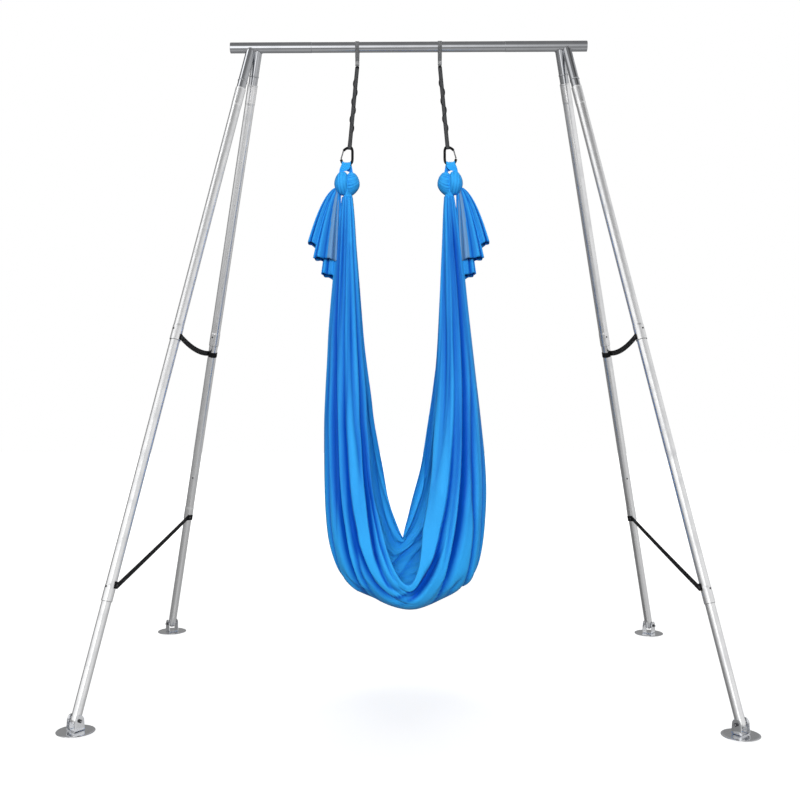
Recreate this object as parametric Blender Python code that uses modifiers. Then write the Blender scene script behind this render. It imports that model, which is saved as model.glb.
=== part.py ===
"""Aerial yoga frame: a chrome A-frame on four splayed legs, with a hung cloth hammock.

Run it with: blender --background --python part.py
Metres, +Z up.  +X runs along the top bar to the right, +Y to the rear.  The origin
is on the floor, in the middle of the four feet.
"""
import math

import bmesh
import bpy
from mathutils import Matrix, Vector

# Overall stance
HEIGHT = 2.93
FOOT_SPAN_X = 2.59
FOOT_SPAN_Y = 1.62
FRONT_HEAD_SPAN = 1.456
REAR_HEAD_SPAN = 1.392

# Top bar
BAR_LENGTH = 1.65
HEAD_OUTER = 0.049
HEAD_WALL = 0.0015
HEAD_LENGTH = 0.377
BAR_OUTER = 0.048
BAR_WALL = 0.0015
SPIGOT_LENGTH = 0.10
SPIGOT_TAPER = 0.004

# Leg tubes
STUB_OUTER = 0.0415
STUB_WALL = 0.0015
UPPER_OUTER = 0.045
UPPER_SOCKET_OUTER = 0.0472
MOUTH_OUTER = 0.0466
MOUTH_LENGTH = 0.085
MIDDLE_OUTER = 0.0425
MIDDLE_SOCKET_OUTER = 0.0446
LOWER_OUTER = 0.0392
LOWER_WALL = 0.0014
SOCKET_LENGTH = 0.062
SOCKET_TAPER = 0.008
INSERT_LENGTH = 0.12
STUB_INSERT = 0.10
STUB_BORE_START = 0.070
FRONT_MOUTH_DROP = 0.2055
REAR_MOUTH_DROP = 0.1605
UPPER_END_HEIGHT = 1.535
FRONT_LOWER_JOINT = 0.480
REAR_LOWER_JOINT = 0.635
STOP_BEAD_ABOVE = 0.040
STOP_BEAD_HEIGHT = 0.006
STOP_BEAD_PROUD = 0.0016
TUBE_SIDES = 18
BORE_SIDES = 16

# Snap buttons
BUTTON_RADIUS = 0.004
BUTTON_PROUD = 0.0026
BUTTON_INSIDE = 0.004
BUTTON_DOME = 0.002
BUTTON_CROWN_SHARE = 0.62
UPPER_BUTTON_ABOVE_END = 0.047
FRONT_LOWER_BUTTON_ABOVE_END = 0.057
REAR_LOWER_BUTTON_ABOVE_END = 0.238
FRONT_BUTTON_TURN = 32.0
REAR_UPPER_BUTTON_TURN = 24.0
REAR_LOWER_BUTTON_TURN = 8.0
PIN_SIDES = 10

# Feet
PLATE_RADIUS = 0.075
PLATE_THICKNESS = 0.004
PLATE_RIM = 0.001
PLATE_SIDES = 28
PIVOT_HEIGHT = 0.045
BRACKET_SHEET = 0.0032
BRACKET_INNER_WIDTH = 0.046
BRACKET_LENGTH = 0.046
EAR_TOP_RADIUS = 0.021
EAR_SHOULDER_HEIGHT = 0.022
EAR_ARC = (25.0, 155.0)
EAR_ARC_STEPS = 8
FOOT_BOLT_RADIUS = 0.004
FOOT_BOLT_HEAD_RADIUS = 0.0075
FOOT_BOLT_HEAD_HEIGHT = 0.005
FOOT_BOLT_HEAD_EDGE = 0.0015
FOOT_BOLT_CROWN_SHARE = 0.75
FOOT_NUT_HEIGHT = 0.0065
FOOT_BOLT_TAIL = 0.005

# Spreader straps
WEBBING_WIDTH = 0.025
WEBBING_THICKNESS = 0.0018
UPPER_STRAP_FRONT_HEIGHT = 1.552
UPPER_STRAP_REAR_HEIGHT = 1.492
UPPER_STRAP_SAG = 0.016
UPPER_STRAP_STEPS = 10
STRAP_LOOP_ARC = (180.0, -128.0)
STRAP_LOOP_STEPS = 20
LOWER_STRAP_FRONT_HEIGHT = 0.545
LOWER_STRAP_REAR_HEIGHT = 0.649
LOWER_STRAP_SAG = 0.002
LOWER_STRAP_STEPS = 8
STRAP_TAB = 0.014
REAR_TAB_TURN = 55.0
STRAP_BOLT_RADIUS = 0.003
STRAP_BOLT_HEAD_RADIUS = 0.006
STRAP_BOLT_HEAD_HEIGHT = 0.0025
STRAP_BOLT_CROWN_SHARE = 0.7
STRAP_BOLT_DEPTH = 0.00125

# Hangers
HAMMOCK_X = -0.045
SLING_HALF_SPAN = 0.191
SLING_WIDTH = 0.0185
SLING_THICKNESS = 0.002
SLING_DROP = 0.088
SLING_TAB = 0.018
SLING_ARC = (-35.0, 215.0)
SLING_ARC_STEPS = 20
CHAIN_WIDTH = 0.013
CHAIN_THICKNESS = 0.0034
CHAIN_LOOP_PROUD = 0.0065
CHAIN_LOOP_HALF_HEIGHT = 0.020
CHAIN_LOOP_DEPTH = 0.007
CHAIN_LOOP_SHARES = (0.24, 0.35, 0.46, 0.57, 0.68, 0.79)
CHAIN_LOOP_STEPS = 6
CHAIN_EYE_LENGTH = 0.034
CHAIN_EYE_HOLE_TOP = 0.026
CHAIN_EYE_SHOULDER = 0.002
CHAIN_EYE_SKIN_ARC = (205.0, 335.0)
CHAIN_EYE_SKIN_STEPS = 8
CHAIN_EYE_HOLE_STEPS = 10
EYE_PLAY = 0.0011

# Carabiners
CARABINER_HALF_SPAN = 0.240
CARABINER_DROP = 0.5045
ROD_RADIUS = 0.0055
GATE_RADIUS = 0.0034
GATE_DOME_STEPS = 3
GATE_SIDES = 12
GATE_PIVOT = (0.0158, 0.0232)
GATE_NOSE = (0.0262, -0.0118)
TOP_BOW = (-0.013, 0.0385)
BOTTOM_BOW_Z = -0.038
BOW_FLAT = 0.007
CARABINER_ROUTE = (
    (0.0258, -0.0165), (0.0215, -0.0290), (0.0140, BOTTOM_BOW_Z + 0.0008), (BOW_FLAT, BOTTOM_BOW_Z),
    (-BOW_FLAT, BOTTOM_BOW_Z), (-0.0150, BOTTOM_BOW_Z + 0.0012), (-0.0235, -0.0285), (-0.0262, -0.014),
    (-0.0264, 0.006), (-0.0262, 0.024), (-0.0235, 0.0345), (TOP_BOW[0] - BOW_FLAT, TOP_BOW[1]),
    (TOP_BOW[0] + BOW_FLAT, TOP_BOW[1]), (0.0025, 0.0352), (0.0095, 0.0305), (0.0137, 0.0265),
)

# Knots and tails
KNOT_DROP = 0.129
LOBE_HALF_HEIGHT = 0.0565
LOBE_HALF_DEPTH = 0.040
LOBE_SEGMENTS = 16
LOBE_RINGS = 10
OUTER_LOBE_HALF_WIDTH = 0.036
OUTER_LOBE_SHIFT = 0.0225
INNER_LOBE_HALF_WIDTH = 0.030
INNER_LOBE_SHIFT = -0.0275
INNER_LOBE_DEPTH_SHARE = 0.92
INNER_LOBE_HEIGHT_SHARE = 0.97
SADDLE_WIDTH = 0.022
SADDLE_THICKNESS = 0.005
SADDLE_REACH_SHARE = 0.55
SADDLE_HOLE_DROP = 0.0285
SADDLE_HOLE_SHOULDER = 0.004
SADDLE_TAPER = 0.9
SADDLE_ARC_STEPS = 12
NECK_RADIUS = 0.020
NECK_SIDES = 20
NECK_DROP = 0.060
TAIL_LENGTH = 0.39
TAIL_STEP = 0.060
TAIL_TOP_ANGLES = (-78.0, -28.0)
TAIL_OUTER_REACH = 0.165
TAIL_INNER_REACH = 0.060
TAIL_FOLDS = 4
TAIL_FOLD_DEPTH = 0.012
TAIL_FOLD_RISE = 2.0
TAIL_BOW = 0.012
TAIL_TIERS = 3
TAIL_ROWS = 8
POINTS_PER_TAIL_FOLD = 4
TAIL_THICKNESS = 0.0018

# Hammock cloth
STRAND_HALF_SPAN = 0.234
STRAND_HALF_WIDTH = 0.0175
HAMMOCK_BOTTOM = 0.303
VEE_HEIGHT = 0.672
VEE_POWER = 0.66
INNER_RISE_POWER = 1.6
WIDEST_HALF = 0.368
WIDEST_HEIGHT = 0.86
SEAT_RUN_SHARE = 0.36
STRAND_SWELL_POWER = 1.5
SEAT_WIDTH_POWER = 0.70
SEAT_DROP_POWER = 1.15
INNER_SHIFT = 0.018
OUTER_SHIFT = 0.040
SHIFT_POWER = 1.5
TOP_DEPTH = 0.018
SEAT_DEPTH = 0.150
DEPTH_RUN_SHARE = 0.62
DEPTH_POWER = 0.9
STRAND_LIP_ANGLE = 25.0
REAR_LIP_ANGLE = 45.0
FRONT_LIP_ANGLE = 108.0
LIP_RUN_SHARE = 0.45
CLOTH_FOLDS = 10
FOLD_DEPTH_SHARE = 0.13
CLOTH_THICKNESS = 0.0022
CLOTH_STATIONS = 18
STATION_SPREAD = 1.4
CLOTH_POINTS = 30

# Running and seating gap between separate pieces
GAP = 0.0003

BAR_Z = HEIGHT - HEAD_OUTER / 2
HEAD_BORE = HEAD_OUTER / 2 - HEAD_WALL
CARABINER_HEIGHT = BAR_Z - CARABINER_DROP
BOTTOM_BOW_HEIGHT = CARABINER_HEIGHT + BOTTOM_BOW_Z
KNOT_HEIGHT = CARABINER_HEIGHT - KNOT_DROP
NECK_BOTTOM = KNOT_HEIGHT - NECK_DROP
CLOTH_TOP = NECK_BOTTOM - GAP
SIDES = (("left", -1), ("right", 1))
ENDS = (("front", -1), ("rear", 1))

for old in list(bpy.data.objects):
    bpy.data.objects.remove(old, do_unlink=True)

PART = bpy.data.collections.new("aerial_yoga_frame")
CUTTERS = bpy.data.collections.new("cutters")
bpy.context.scene.collection.children.link(PART)
bpy.context.scene.collection.children.link(CUTTERS)


def material(name, colour, roughness, metallic):
    made = bpy.data.materials.new(name)
    made.use_nodes = True
    shader = made.node_tree.nodes["Principled BSDF"]
    shader.inputs["Base Color"].default_value = (*colour, 1.0)
    shader.inputs["Roughness"].default_value = roughness
    shader.inputs["Metallic"].default_value = metallic
    return made


CHROME = material("chrome_tube", (0.80, 0.81, 0.82), 0.18, 1.0)
DARK_CHROME = material("bar_chrome", (0.55, 0.56, 0.58), 0.14, 1.0)
FOOT_CHROME = material("foot_chrome", (0.62, 0.63, 0.65), 0.12, 1.0)
BOLT_STEEL = material("bolt_steel", (0.42, 0.42, 0.44), 0.28, 1.0)
BUTTON_STEEL = material("button_steel", (0.10, 0.10, 0.11), 0.35, 1.0)
BLACK_WEBBING = material("black_webbing", (0.012, 0.012, 0.013), 0.75, 0.0)
GREY_WEBBING = material("grey_webbing", (0.16, 0.17, 0.18), 0.75, 0.0)
CHAIN_WEBBING = material("chain_webbing", (0.05, 0.05, 0.055), 0.78, 0.0)
BLACK_ALLOY = material("black_alloy", (0.02, 0.02, 0.022), 0.35, 0.8)
GATE_ALLOY = material("gate_alloy", (0.45, 0.46, 0.48), 0.30, 1.0)
BLUE_CLOTH = material("blue_cloth", (0.02, 0.27, 0.82), 0.55, 0.0)


def link(obj, look=None, collection=PART):
    collection.objects.link(obj)
    if look is not None:
        obj.data.materials.clear()
        obj.data.materials.append(look)
    return obj


def as_cutter(obj):
    obj.hide_render = True
    obj.display_type = "WIRE"
    return obj


def combine(obj, other, operation, solver="EXACT"):
    step = obj.modifiers.new(operation.lower(), "BOOLEAN")
    step.operation = operation
    step.solver = solver
    step.object = other


def turned(name, profile, closed, sides, look, collection=PART):
    """A profile of (radius, height) points turned about the object's Z axis."""
    mesh = bpy.data.meshes.new(name)
    edges = [(i, i + 1) for i in range(len(profile) - 1) if profile[i][0] > 0 or profile[i + 1][0] > 0]
    if closed:
        edges.append((len(profile) - 1, 0))
    mesh.from_pydata([(r, 0.0, z) for r, z in profile], edges, [])
    obj = link(bpy.data.objects.new(name, mesh), look, collection)
    screw = obj.modifiers.new("turn", "SCREW")
    screw.axis = "Z"
    screw.steps = sides
    screw.render_steps = sides
    screw.use_merge_vertices = True
    screw.merge_threshold = 0.00001
    screw.use_smooth_shade = True
    return obj


def sheet(name, columns, rows, place, thickness, look, collection=PART):
    """A grid whose points follow place(u, v), thickened to a closed body."""
    bpy.ops.mesh.primitive_grid_add(x_subdivisions=columns, y_subdivisions=rows, size=2.0)
    obj = bpy.context.object
    obj.name = name
    obj.data.name = name
    for held in list(obj.users_collection):
        held.objects.unlink(obj)
    link(obj, look, collection)
    for vertex in obj.data.vertices:
        vertex.co = place((vertex.co.x + 1.0) / 2.0, (vertex.co.y + 1.0) / 2.0)
    obj.data.shade_smooth()
    solid = obj.modifiers.new("thickness", "SOLIDIFY")
    solid.thickness = thickness
    solid.offset = 0.0
    return obj


def extruded(name, outlines, depth, frame, look, collection=PART):
    """A flat outline, with its holes, extruded to a solid and made a mesh."""
    curve = bpy.data.curves.new(name, "CURVE")
    curve.dimensions = "2D"
    curve.fill_mode = "BOTH"
    curve.extrude = depth / 2
    for outline in outlines:
        spline = curve.splines.new("POLY")
        spline.points.add(len(outline) - 1)
        for point, (x, y) in zip(spline.points, outline):
            point.co = (x, y, 0.0, 1.0)
        spline.use_cyclic_u = True
    drawn = bpy.data.objects.new(name + "_outline", curve)
    return meshed(name, drawn, frame, look, collection)


def rod(name, route, radius, resolution, frame, look, collection=PART):
    """A round bar along a route of points, made a mesh."""
    curve = bpy.data.curves.new(name, "CURVE")
    curve.dimensions = "3D"
    curve.bevel_depth = radius
    curve.bevel_resolution = resolution
    curve.use_fill_caps = True
    spline = curve.splines.new("POLY")
    spline.points.add(len(route) - 1)
    for point, place in zip(spline.points, route):
        point.co = (*place, 1.0)
    drawn = bpy.data.objects.new(name + "_route", curve)
    return meshed(name, drawn, frame, look, collection)


def meshed(name, drawn, frame, look, collection):
    """The curve object's shape as a welded mesh object."""
    bpy.context.scene.collection.objects.link(drawn)
    graph = bpy.context.evaluated_depsgraph_get()
    mesh = bpy.data.meshes.new_from_object(drawn.evaluated_get(graph))
    bpy.data.objects.remove(drawn, do_unlink=True)
    weld(mesh)
    mesh.name = name
    obj = link(bpy.data.objects.new(name, mesh), look, collection)
    obj.matrix_world = frame
    return obj


def weld(mesh):
    work = bmesh.new()
    work.from_mesh(mesh)
    bmesh.ops.remove_doubles(work, verts=work.verts, dist=0.00001)
    bmesh.ops.recalc_face_normals(work, faces=work.faces)
    work.to_mesh(mesh)
    work.free()


def ellipsoid(name, centre, half_sizes, look, collection=PART):
    bpy.ops.mesh.primitive_uv_sphere_add(segments=LOBE_SEGMENTS, ring_count=LOBE_RINGS, radius=1.0)
    obj = bpy.context.object
    obj.name = name
    obj.data.name = name
    for held in list(obj.users_collection):
        held.objects.unlink(obj)
    link(obj, look, collection)
    obj.data.transform(Matrix.Diagonal((*half_sizes, 1.0)))
    obj.data.shade_smooth()
    obj.location = centre
    return obj


def axes(origin, x_axis, y_axis, z_axis):
    """A placement whose columns are three perpendicular unit directions."""
    turn = Matrix((x_axis, y_axis, z_axis)).transposed().to_4x4()
    return Matrix.Translation(origin) @ turn


def along(origin, direction, side=Vector((0.0, 0.0, 1.0))):
    """A placement whose Z axis follows a direction."""
    z_axis = Vector(direction).normalized()
    x_axis = Vector(side).cross(z_axis)
    if x_axis.length < 0.001:
        x_axis = Vector((1.0, 0.0, 0.0))
    x_axis.normalize()
    return axes(origin, x_axis, z_axis.cross(x_axis), z_axis)


class Leg:
    """One leg's straight line from the bar's axis to the floor."""

    def __init__(self, side_name, side, end_name, end):
        self.name = end_name + "_" + side_name
        self.side = side
        self.end = end
        head_span = FRONT_HEAD_SPAN if end < 0 else REAR_HEAD_SPAN
        self.head = Vector((side * head_span / 2, 0.0, BAR_Z))
        self.toe = Vector((side * FOOT_SPAN_X / 2, end * FOOT_SPAN_Y / 2, 0.0))
        self.up = (self.head - self.toe).normalized()
        self.bolt_axis = Vector((0.0, 0.0, 1.0)).cross(self.up).normalized()
        inward = Vector((-side, 0.0, 0.0))
        self.inward = (inward - inward.dot(self.up) * self.up).normalized()
        back = self.up.cross(self.inward)
        self.back = back if back.y > 0 else -back
        self.mouth = BAR_Z - (FRONT_MOUTH_DROP if end < 0 else REAR_MOUTH_DROP)
        self.lower_joint = FRONT_LOWER_JOINT if end < 0 else REAR_LOWER_JOINT

    def at(self, height):
        return self.toe + (self.head - self.toe) * (height / BAR_Z)

    def frame(self, height):
        return axes(self.at(height), self.bolt_axis, self.up.cross(self.bolt_axis), self.up)

    def run(self, low, high):
        return (self.at(high) - self.at(low)).length

    def outward(self, turn):
        """A direction square to the leg, turned from facing front toward the outside."""
        angle = math.radians(turn)
        return -math.cos(angle) * self.back - math.sin(angle) * self.inward

    def around(self, height, radius, angle):
        """A point beside the leg: 0 degrees inward, 90 to the rear."""
        turn = math.radians(angle)
        away = math.cos(turn) * self.inward + math.sin(turn) * self.back
        return self.at(height) + radius * away


LEGS = [Leg(side_name, side, end_name, end) for side_name, side in SIDES for end_name, end in ENDS]


def cylinder_cutter(name, frame, radius, start, end, sides=BORE_SIDES):
    """A cylinder along a frame's Z axis, between two distances from its origin."""
    profile = [(0.0, end), (radius, end), (radius, start), (0.0, start)]
    cutter = turned(name, profile, False, sides, None, CUTTERS)
    cutter.matrix_world = frame
    return as_cutter(cutter)


def bar_middle():
    half = BAR_LENGTH / 2 - HEAD_LENGTH - GAP
    outer = BAR_OUTER / 2
    spigot = HEAD_BORE - GAP
    tip = half + SPIGOT_LENGTH
    profile = [
        (spigot, tip), (spigot, half + GAP), (outer, half), (outer, -half),
        (spigot, -half - GAP), (spigot, -tip),
        (spigot - BAR_WALL, -tip), (spigot - BAR_WALL, -half + SPIGOT_TAPER),
        (outer - BAR_WALL, -half + 2 * SPIGOT_TAPER), (outer - BAR_WALL, half - 2 * SPIGOT_TAPER),
        (spigot - BAR_WALL, half - SPIGOT_TAPER), (spigot - BAR_WALL, tip),
    ]
    obj = turned("bar_middle", profile, True, TUBE_SIDES, DARK_CHROME)
    obj.matrix_world = bar_frame(1)


def bar_frame(side):
    """Placement along the bar's axis, with Z pointing to one of its ends."""
    return axes((0, 0, BAR_Z), Vector((0, side, 0)), Vector((0, 0, 1)), Vector((side, 0, 0)))


def stub_profile(length, bead_at):
    """A closed-topped stub from the bar's axis down, with its stop bead."""
    radius = STUB_OUTER / 2
    proud = radius + STOP_BEAD_PROUD
    half = STOP_BEAD_HEIGHT / 2
    return [
        (0.0, 0.0), (radius, 0.0), (radius, -bead_at + half), (proud, -bead_at + half * 0.4),
        (proud, -bead_at - half * 0.4), (radius, -bead_at - half), (radius, -length), (0.0, -length),
    ]


def head(side_name, side):
    """A bar end with its two welded leg stubs, bored out."""
    outer_end = BAR_LENGTH / 2
    inner_end = outer_end - HEAD_LENGTH
    frame = bar_frame(side)
    radius = HEAD_OUTER / 2
    solid = [(0.0, outer_end), (radius, outer_end), (radius, inner_end), (0.0, inner_end)]
    obj = turned("head_" + side_name, solid, False, TUBE_SIDES, DARK_CHROME)
    obj.matrix_world = frame
    over = HEAD_WALL
    for leg in LEGS:
        if leg.side != side:
            continue
        length = leg.run(leg.mouth, BAR_Z) + STUB_INSERT
        bead_at = leg.run(leg.mouth, BAR_Z) - STOP_BEAD_ABOVE
        stub = turned("stub_" + leg.name, stub_profile(length, bead_at), False, TUBE_SIDES, None, CUTTERS)
        stub.matrix_world = leg.frame(BAR_Z)
        combine(obj, as_cutter(stub), "UNION")
    for leg in LEGS:
        if leg.side != side:
            continue
        length = leg.run(leg.mouth, BAR_Z) + STUB_INSERT
        bore = cylinder_cutter("bore_" + leg.name, along(leg.at(BAR_Z), -leg.up), STUB_OUTER / 2 - STUB_WALL,
                           STUB_BORE_START, length + over)
        combine(obj, bore, "DIFFERENCE")
    bore = cylinder_cutter("bore_" + side_name, frame, HEAD_BORE, inner_end - over, outer_end + over,
                       TUBE_SIDES)
    combine(obj, bore, "DIFFERENCE")


def upper_tube(leg):
    length = leg.run(UPPER_END_HEIGHT, leg.mouth)
    outer = UPPER_OUTER / 2
    socket = UPPER_SOCKET_OUTER / 2
    mouth = MOUTH_OUTER / 2
    bore = STUB_OUTER / 2 + GAP
    wide_bore = MIDDLE_OUTER / 2 + GAP
    deep = INSERT_LENGTH + SOCKET_TAPER
    profile = [
        (mouth, length), (mouth, length - MOUTH_LENGTH), (outer, length - MOUTH_LENGTH - SOCKET_TAPER),
        (outer, SOCKET_LENGTH + SOCKET_TAPER), (socket, SOCKET_LENGTH), (socket, 0.0),
        (wide_bore, 0.0), (wide_bore, deep), (bore, deep + SOCKET_TAPER), (bore, length),
    ]
    obj = turned(leg.name + "_upper_tube", profile, True, TUBE_SIDES, CHROME)
    obj.matrix_world = leg.frame(UPPER_END_HEIGHT)
    return obj


def middle_tube(leg):
    length = leg.run(leg.lower_joint, UPPER_END_HEIGHT) + INSERT_LENGTH
    outer = MIDDLE_OUTER / 2
    socket = MIDDLE_SOCKET_OUTER / 2
    bore = LOWER_OUTER / 2 + GAP
    profile = [
        (outer, length), (outer, SOCKET_LENGTH + SOCKET_TAPER), (socket, SOCKET_LENGTH), (socket, 0.0),
        (bore, 0.0), (bore, length),
    ]
    obj = turned(leg.name + "_middle_tube", profile, True, TUBE_SIDES, CHROME)
    obj.matrix_world = leg.frame(leg.lower_joint)
    return obj


def lower_button_above_end(leg):
    return FRONT_LOWER_BUTTON_ABOVE_END if leg.end < 0 else REAR_LOWER_BUTTON_ABOVE_END


def lower_tube(leg):
    reach = INSERT_LENGTH + lower_button_above_end(leg) - FRONT_LOWER_BUTTON_ABOVE_END
    length = leg.run(PIVOT_HEIGHT, leg.lower_joint) + reach
    outer = LOWER_OUTER / 2
    inner = outer - LOWER_WALL
    steps = 3
    dome = [math.radians(90.0 * i / steps) for i in range(steps + 1)]
    profile = [(outer, length)]
    profile += [(outer * math.cos(a), -outer * math.sin(a)) for a in dome]
    profile[-1] = (0.0, -outer)
    profile += [(inner * math.cos(a), -inner * math.sin(a)) for a in reversed(dome)]
    profile[len(dome) + 1] = (0.0, -inner)
    profile.append((inner, length))
    obj = turned(leg.name + "_lower_tube", profile, True, TUBE_SIDES, CHROME)
    obj.matrix_world = leg.frame(PIVOT_HEIGHT)
    shell = outer + LOWER_WALL
    hole = cylinder_cutter(leg.name + "_foot_bore", along(leg.at(PIVOT_HEIGHT), leg.bolt_axis),
                       FOOT_BOLT_RADIUS + GAP, -shell, shell)
    combine(obj, hole, "DIFFERENCE")
    return obj


def snap_button(name, leg, height, turn, hole_tubes, outer_radius, inner_wall_radius):
    """A spring pin through two tubes; its origin is on the leg's axis and +Z points out."""
    direction = leg.outward(turn)
    tip = outer_radius + BUTTON_PROUD
    base = inner_wall_radius - BUTTON_INSIDE
    crown = BUTTON_DOME / 3
    profile = [(0.0, tip), (BUTTON_RADIUS * BUTTON_CROWN_SHARE, tip - crown),
               (BUTTON_RADIUS, tip - BUTTON_DOME), (BUTTON_RADIUS, base), (0.0, base)]
    pin = turned(name, profile, False, PIN_SIDES, BUTTON_STEEL)
    pin.matrix_world = along(leg.at(height), direction)
    hole = cylinder_cutter(name + "_hole", pin.matrix_world, BUTTON_RADIUS + GAP, base,
                       tip + BUTTON_PROUD)
    for tube in hole_tubes:
        combine(tube, hole, "DIFFERENCE")


def height_above(leg, base_height, distance):
    """The floor height of a point that lies a distance up the leg from another one."""
    return base_height + distance * leg.up.z


def foot(leg):
    pivot = leg.at(PIVOT_HEIGHT)
    hub = bpy.data.objects.new(leg.name + "_foot_pivot", None)
    PART.objects.link(hub)
    hub.matrix_world = axes(pivot, leg.bolt_axis, Vector((0, 0, 1)).cross(leg.bolt_axis), Vector((0, 0, 1)))
    bpy.context.view_layer.update()
    plate = turned(leg.name + "_foot_plate", plate_profile(), False, PLATE_SIDES, FOOT_CHROME)
    plate.matrix_world = Matrix.Translation((pivot.x, pivot.y, 0.0))
    hold(plate, hub)
    hold(foot_bracket(leg, pivot), hub)
    hold(foot_bolt(leg, pivot), hub)


def hold(obj, parent):
    bpy.context.view_layer.update()
    world = obj.matrix_world.copy()
    obj.parent = parent
    obj.matrix_parent_inverse = parent.matrix_world.inverted()
    obj.matrix_world = world


def plate_profile():
    rim = PLATE_RADIUS
    return [(0.0, PLATE_THICKNESS), (rim - PLATE_RIM, PLATE_THICKNESS), (rim, PLATE_THICKNESS - PLATE_RIM),
            (rim, 0.0), (0.0, 0.0)]


def foot_bracket(leg, pivot):
    """Sheet folded up into two ears, cut to the ears' rounded outline."""
    base = PLATE_THICKNESS + GAP
    half_inner = BRACKET_INNER_WIDTH / 2
    half_outer = half_inner + BRACKET_SHEET
    top = PIVOT_HEIGHT + EAR_TOP_RADIUS
    section = [(-half_outer, base), (half_outer, base), (half_outer, top), (half_inner, top),
               (half_inner, base + BRACKET_SHEET), (-half_inner, base + BRACKET_SHEET),
               (-half_inner, top), (-half_outer, top)]
    up = Vector((0, 0, 1))
    origin = Vector((pivot.x, pivot.y, 0.0))
    frame = axes(origin, leg.bolt_axis, up, leg.bolt_axis.cross(up))
    obj = extruded(leg.name + "_foot_bracket", [section], BRACKET_LENGTH, frame, FOOT_CHROME)
    half = BRACKET_LENGTH / 2
    crown = arc_points(EAR_TOP_RADIUS, *EAR_ARC, EAR_ARC_STEPS, (0.0, PIVOT_HEIGHT))
    outline = [(-half, base / 2), (half, base / 2), (half, EAR_SHOULDER_HEIGHT)]
    outline += crown + [(-half, EAR_SHOULDER_HEIGHT)]
    side_frame = axes(origin, leg.bolt_axis.cross(up), up, -leg.bolt_axis)
    ears = extruded(leg.name + "_ear_outline", [outline], 3 * half_outer, side_frame, None, CUTTERS)
    combine(obj, as_cutter(ears), "INTERSECT")
    hole = cylinder_cutter(leg.name + "_ear_bore", along(pivot, leg.bolt_axis), FOOT_BOLT_RADIUS + GAP,
                       -2 * half_outer, 2 * half_outer)
    combine(obj, hole, "DIFFERENCE")
    return obj


def foot_bolt(leg, pivot):
    """Cross bolt with a domed head outside one ear and its nut outside the other."""
    face = BRACKET_INNER_WIDTH / 2 + BRACKET_SHEET + GAP
    head_top = face + FOOT_BOLT_HEAD_HEIGHT
    nut_top = face + FOOT_NUT_HEIGHT
    profile = [
        (0.0, head_top), (FOOT_BOLT_HEAD_RADIUS * FOOT_BOLT_CROWN_SHARE, head_top),
        (FOOT_BOLT_HEAD_RADIUS, face + FOOT_BOLT_HEAD_EDGE),
        (FOOT_BOLT_HEAD_RADIUS, face), (FOOT_BOLT_RADIUS, face), (FOOT_BOLT_RADIUS, -face),
        (FOOT_BOLT_HEAD_RADIUS, -face), (FOOT_BOLT_HEAD_RADIUS, -nut_top), (FOOT_BOLT_RADIUS, -nut_top),
        (FOOT_BOLT_RADIUS, -nut_top - FOOT_BOLT_TAIL), (0.0, -nut_top - FOOT_BOLT_TAIL),
    ]
    obj = turned(leg.name + "_foot_bolt", profile, False, PIN_SIDES, BOLT_STEEL)
    obj.matrix_world = along(pivot, -leg.side * leg.bolt_axis)
    return obj


def smooth_route(points, widths, per_span):
    """A smooth run through strap points, each with its direction across the webbing."""
    route = []
    count = len(points)
    for i in range(count - 1):
        p0 = points[max(i - 1, 0)]
        p1 = points[i]
        p2 = points[i + 1]
        p3 = points[min(i + 2, count - 1)]
        for k in range(per_span):
            t = k / per_span
            place = 0.5 * ((2 * p1) + (p2 - p0) * t + (2 * p0 - 5 * p1 + 4 * p2 - p3) * t * t
                           + (3 * p1 - p0 - 3 * p2 + p3) * t * t * t)
            route.append((place, widths[i].lerp(widths[i + 1], t).normalized()))
    route.append((points[-1], widths[-1]))
    return route


def strap_run(start, finish, start_up, finish_up, sag, steps):
    """Points between two ends with a shallow sag, ends left out."""
    run = []
    for i in range(1, steps):
        t = i / steps
        place = start.lerp(finish, t) - Vector((0.0, 0.0, sag * 4 * t * (1 - t)))
        run.append((place, start_up.lerp(finish_up, t).normalized()))
    return run


def webbing(name, route, look):
    """A strap along a list of (point, direction across) pairs."""
    last = len(route) - 1

    def place(u, v):
        point, across = route[round(u * last)]
        return point + (v - 0.5) * WEBBING_WIDTH * across

    return sheet(name, last, 1, place, WEBBING_THICKNESS, look)


def tab(leg, height, radius, angle):
    """Three points of a strap's end laid flat against a tube at an angle round the leg."""
    centre = leg.around(height, radius, angle)
    turn = math.radians(angle)
    tangent = -math.sin(turn) * leg.inward + math.cos(turn) * leg.back
    return [(centre + tangent * offset, leg.up.copy()) for offset in (-STRAP_TAB, 0.0, STRAP_TAB)]


def upper_strap(side_name, front, rear):
    """A slack strap: flat on the front leg's inner side, looped round the rear leg."""
    seat = GAP + WEBBING_THICKNESS / 2
    start = tab(front, UPPER_STRAP_FRONT_HEIGHT, UPPER_SOCKET_OUTER / 2 + seat, 0.0)
    radius = MIDDLE_OUTER / 2 + seat
    first, last = STRAP_LOOP_ARC
    loop = []
    for i in range(STRAP_LOOP_STEPS + 1):
        angle = first + (last - first) * i / STRAP_LOOP_STEPS
        loop.append((rear.around(UPPER_STRAP_REAR_HEIGHT, radius, angle), rear.up.copy()))
    run = strap_run(start[-1][0], loop[0][0], front.up, rear.up, UPPER_STRAP_SAG,
                    UPPER_STRAP_STEPS)
    return webbing("upper_strap_" + side_name, start + run + loop, BLACK_WEBBING)


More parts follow.
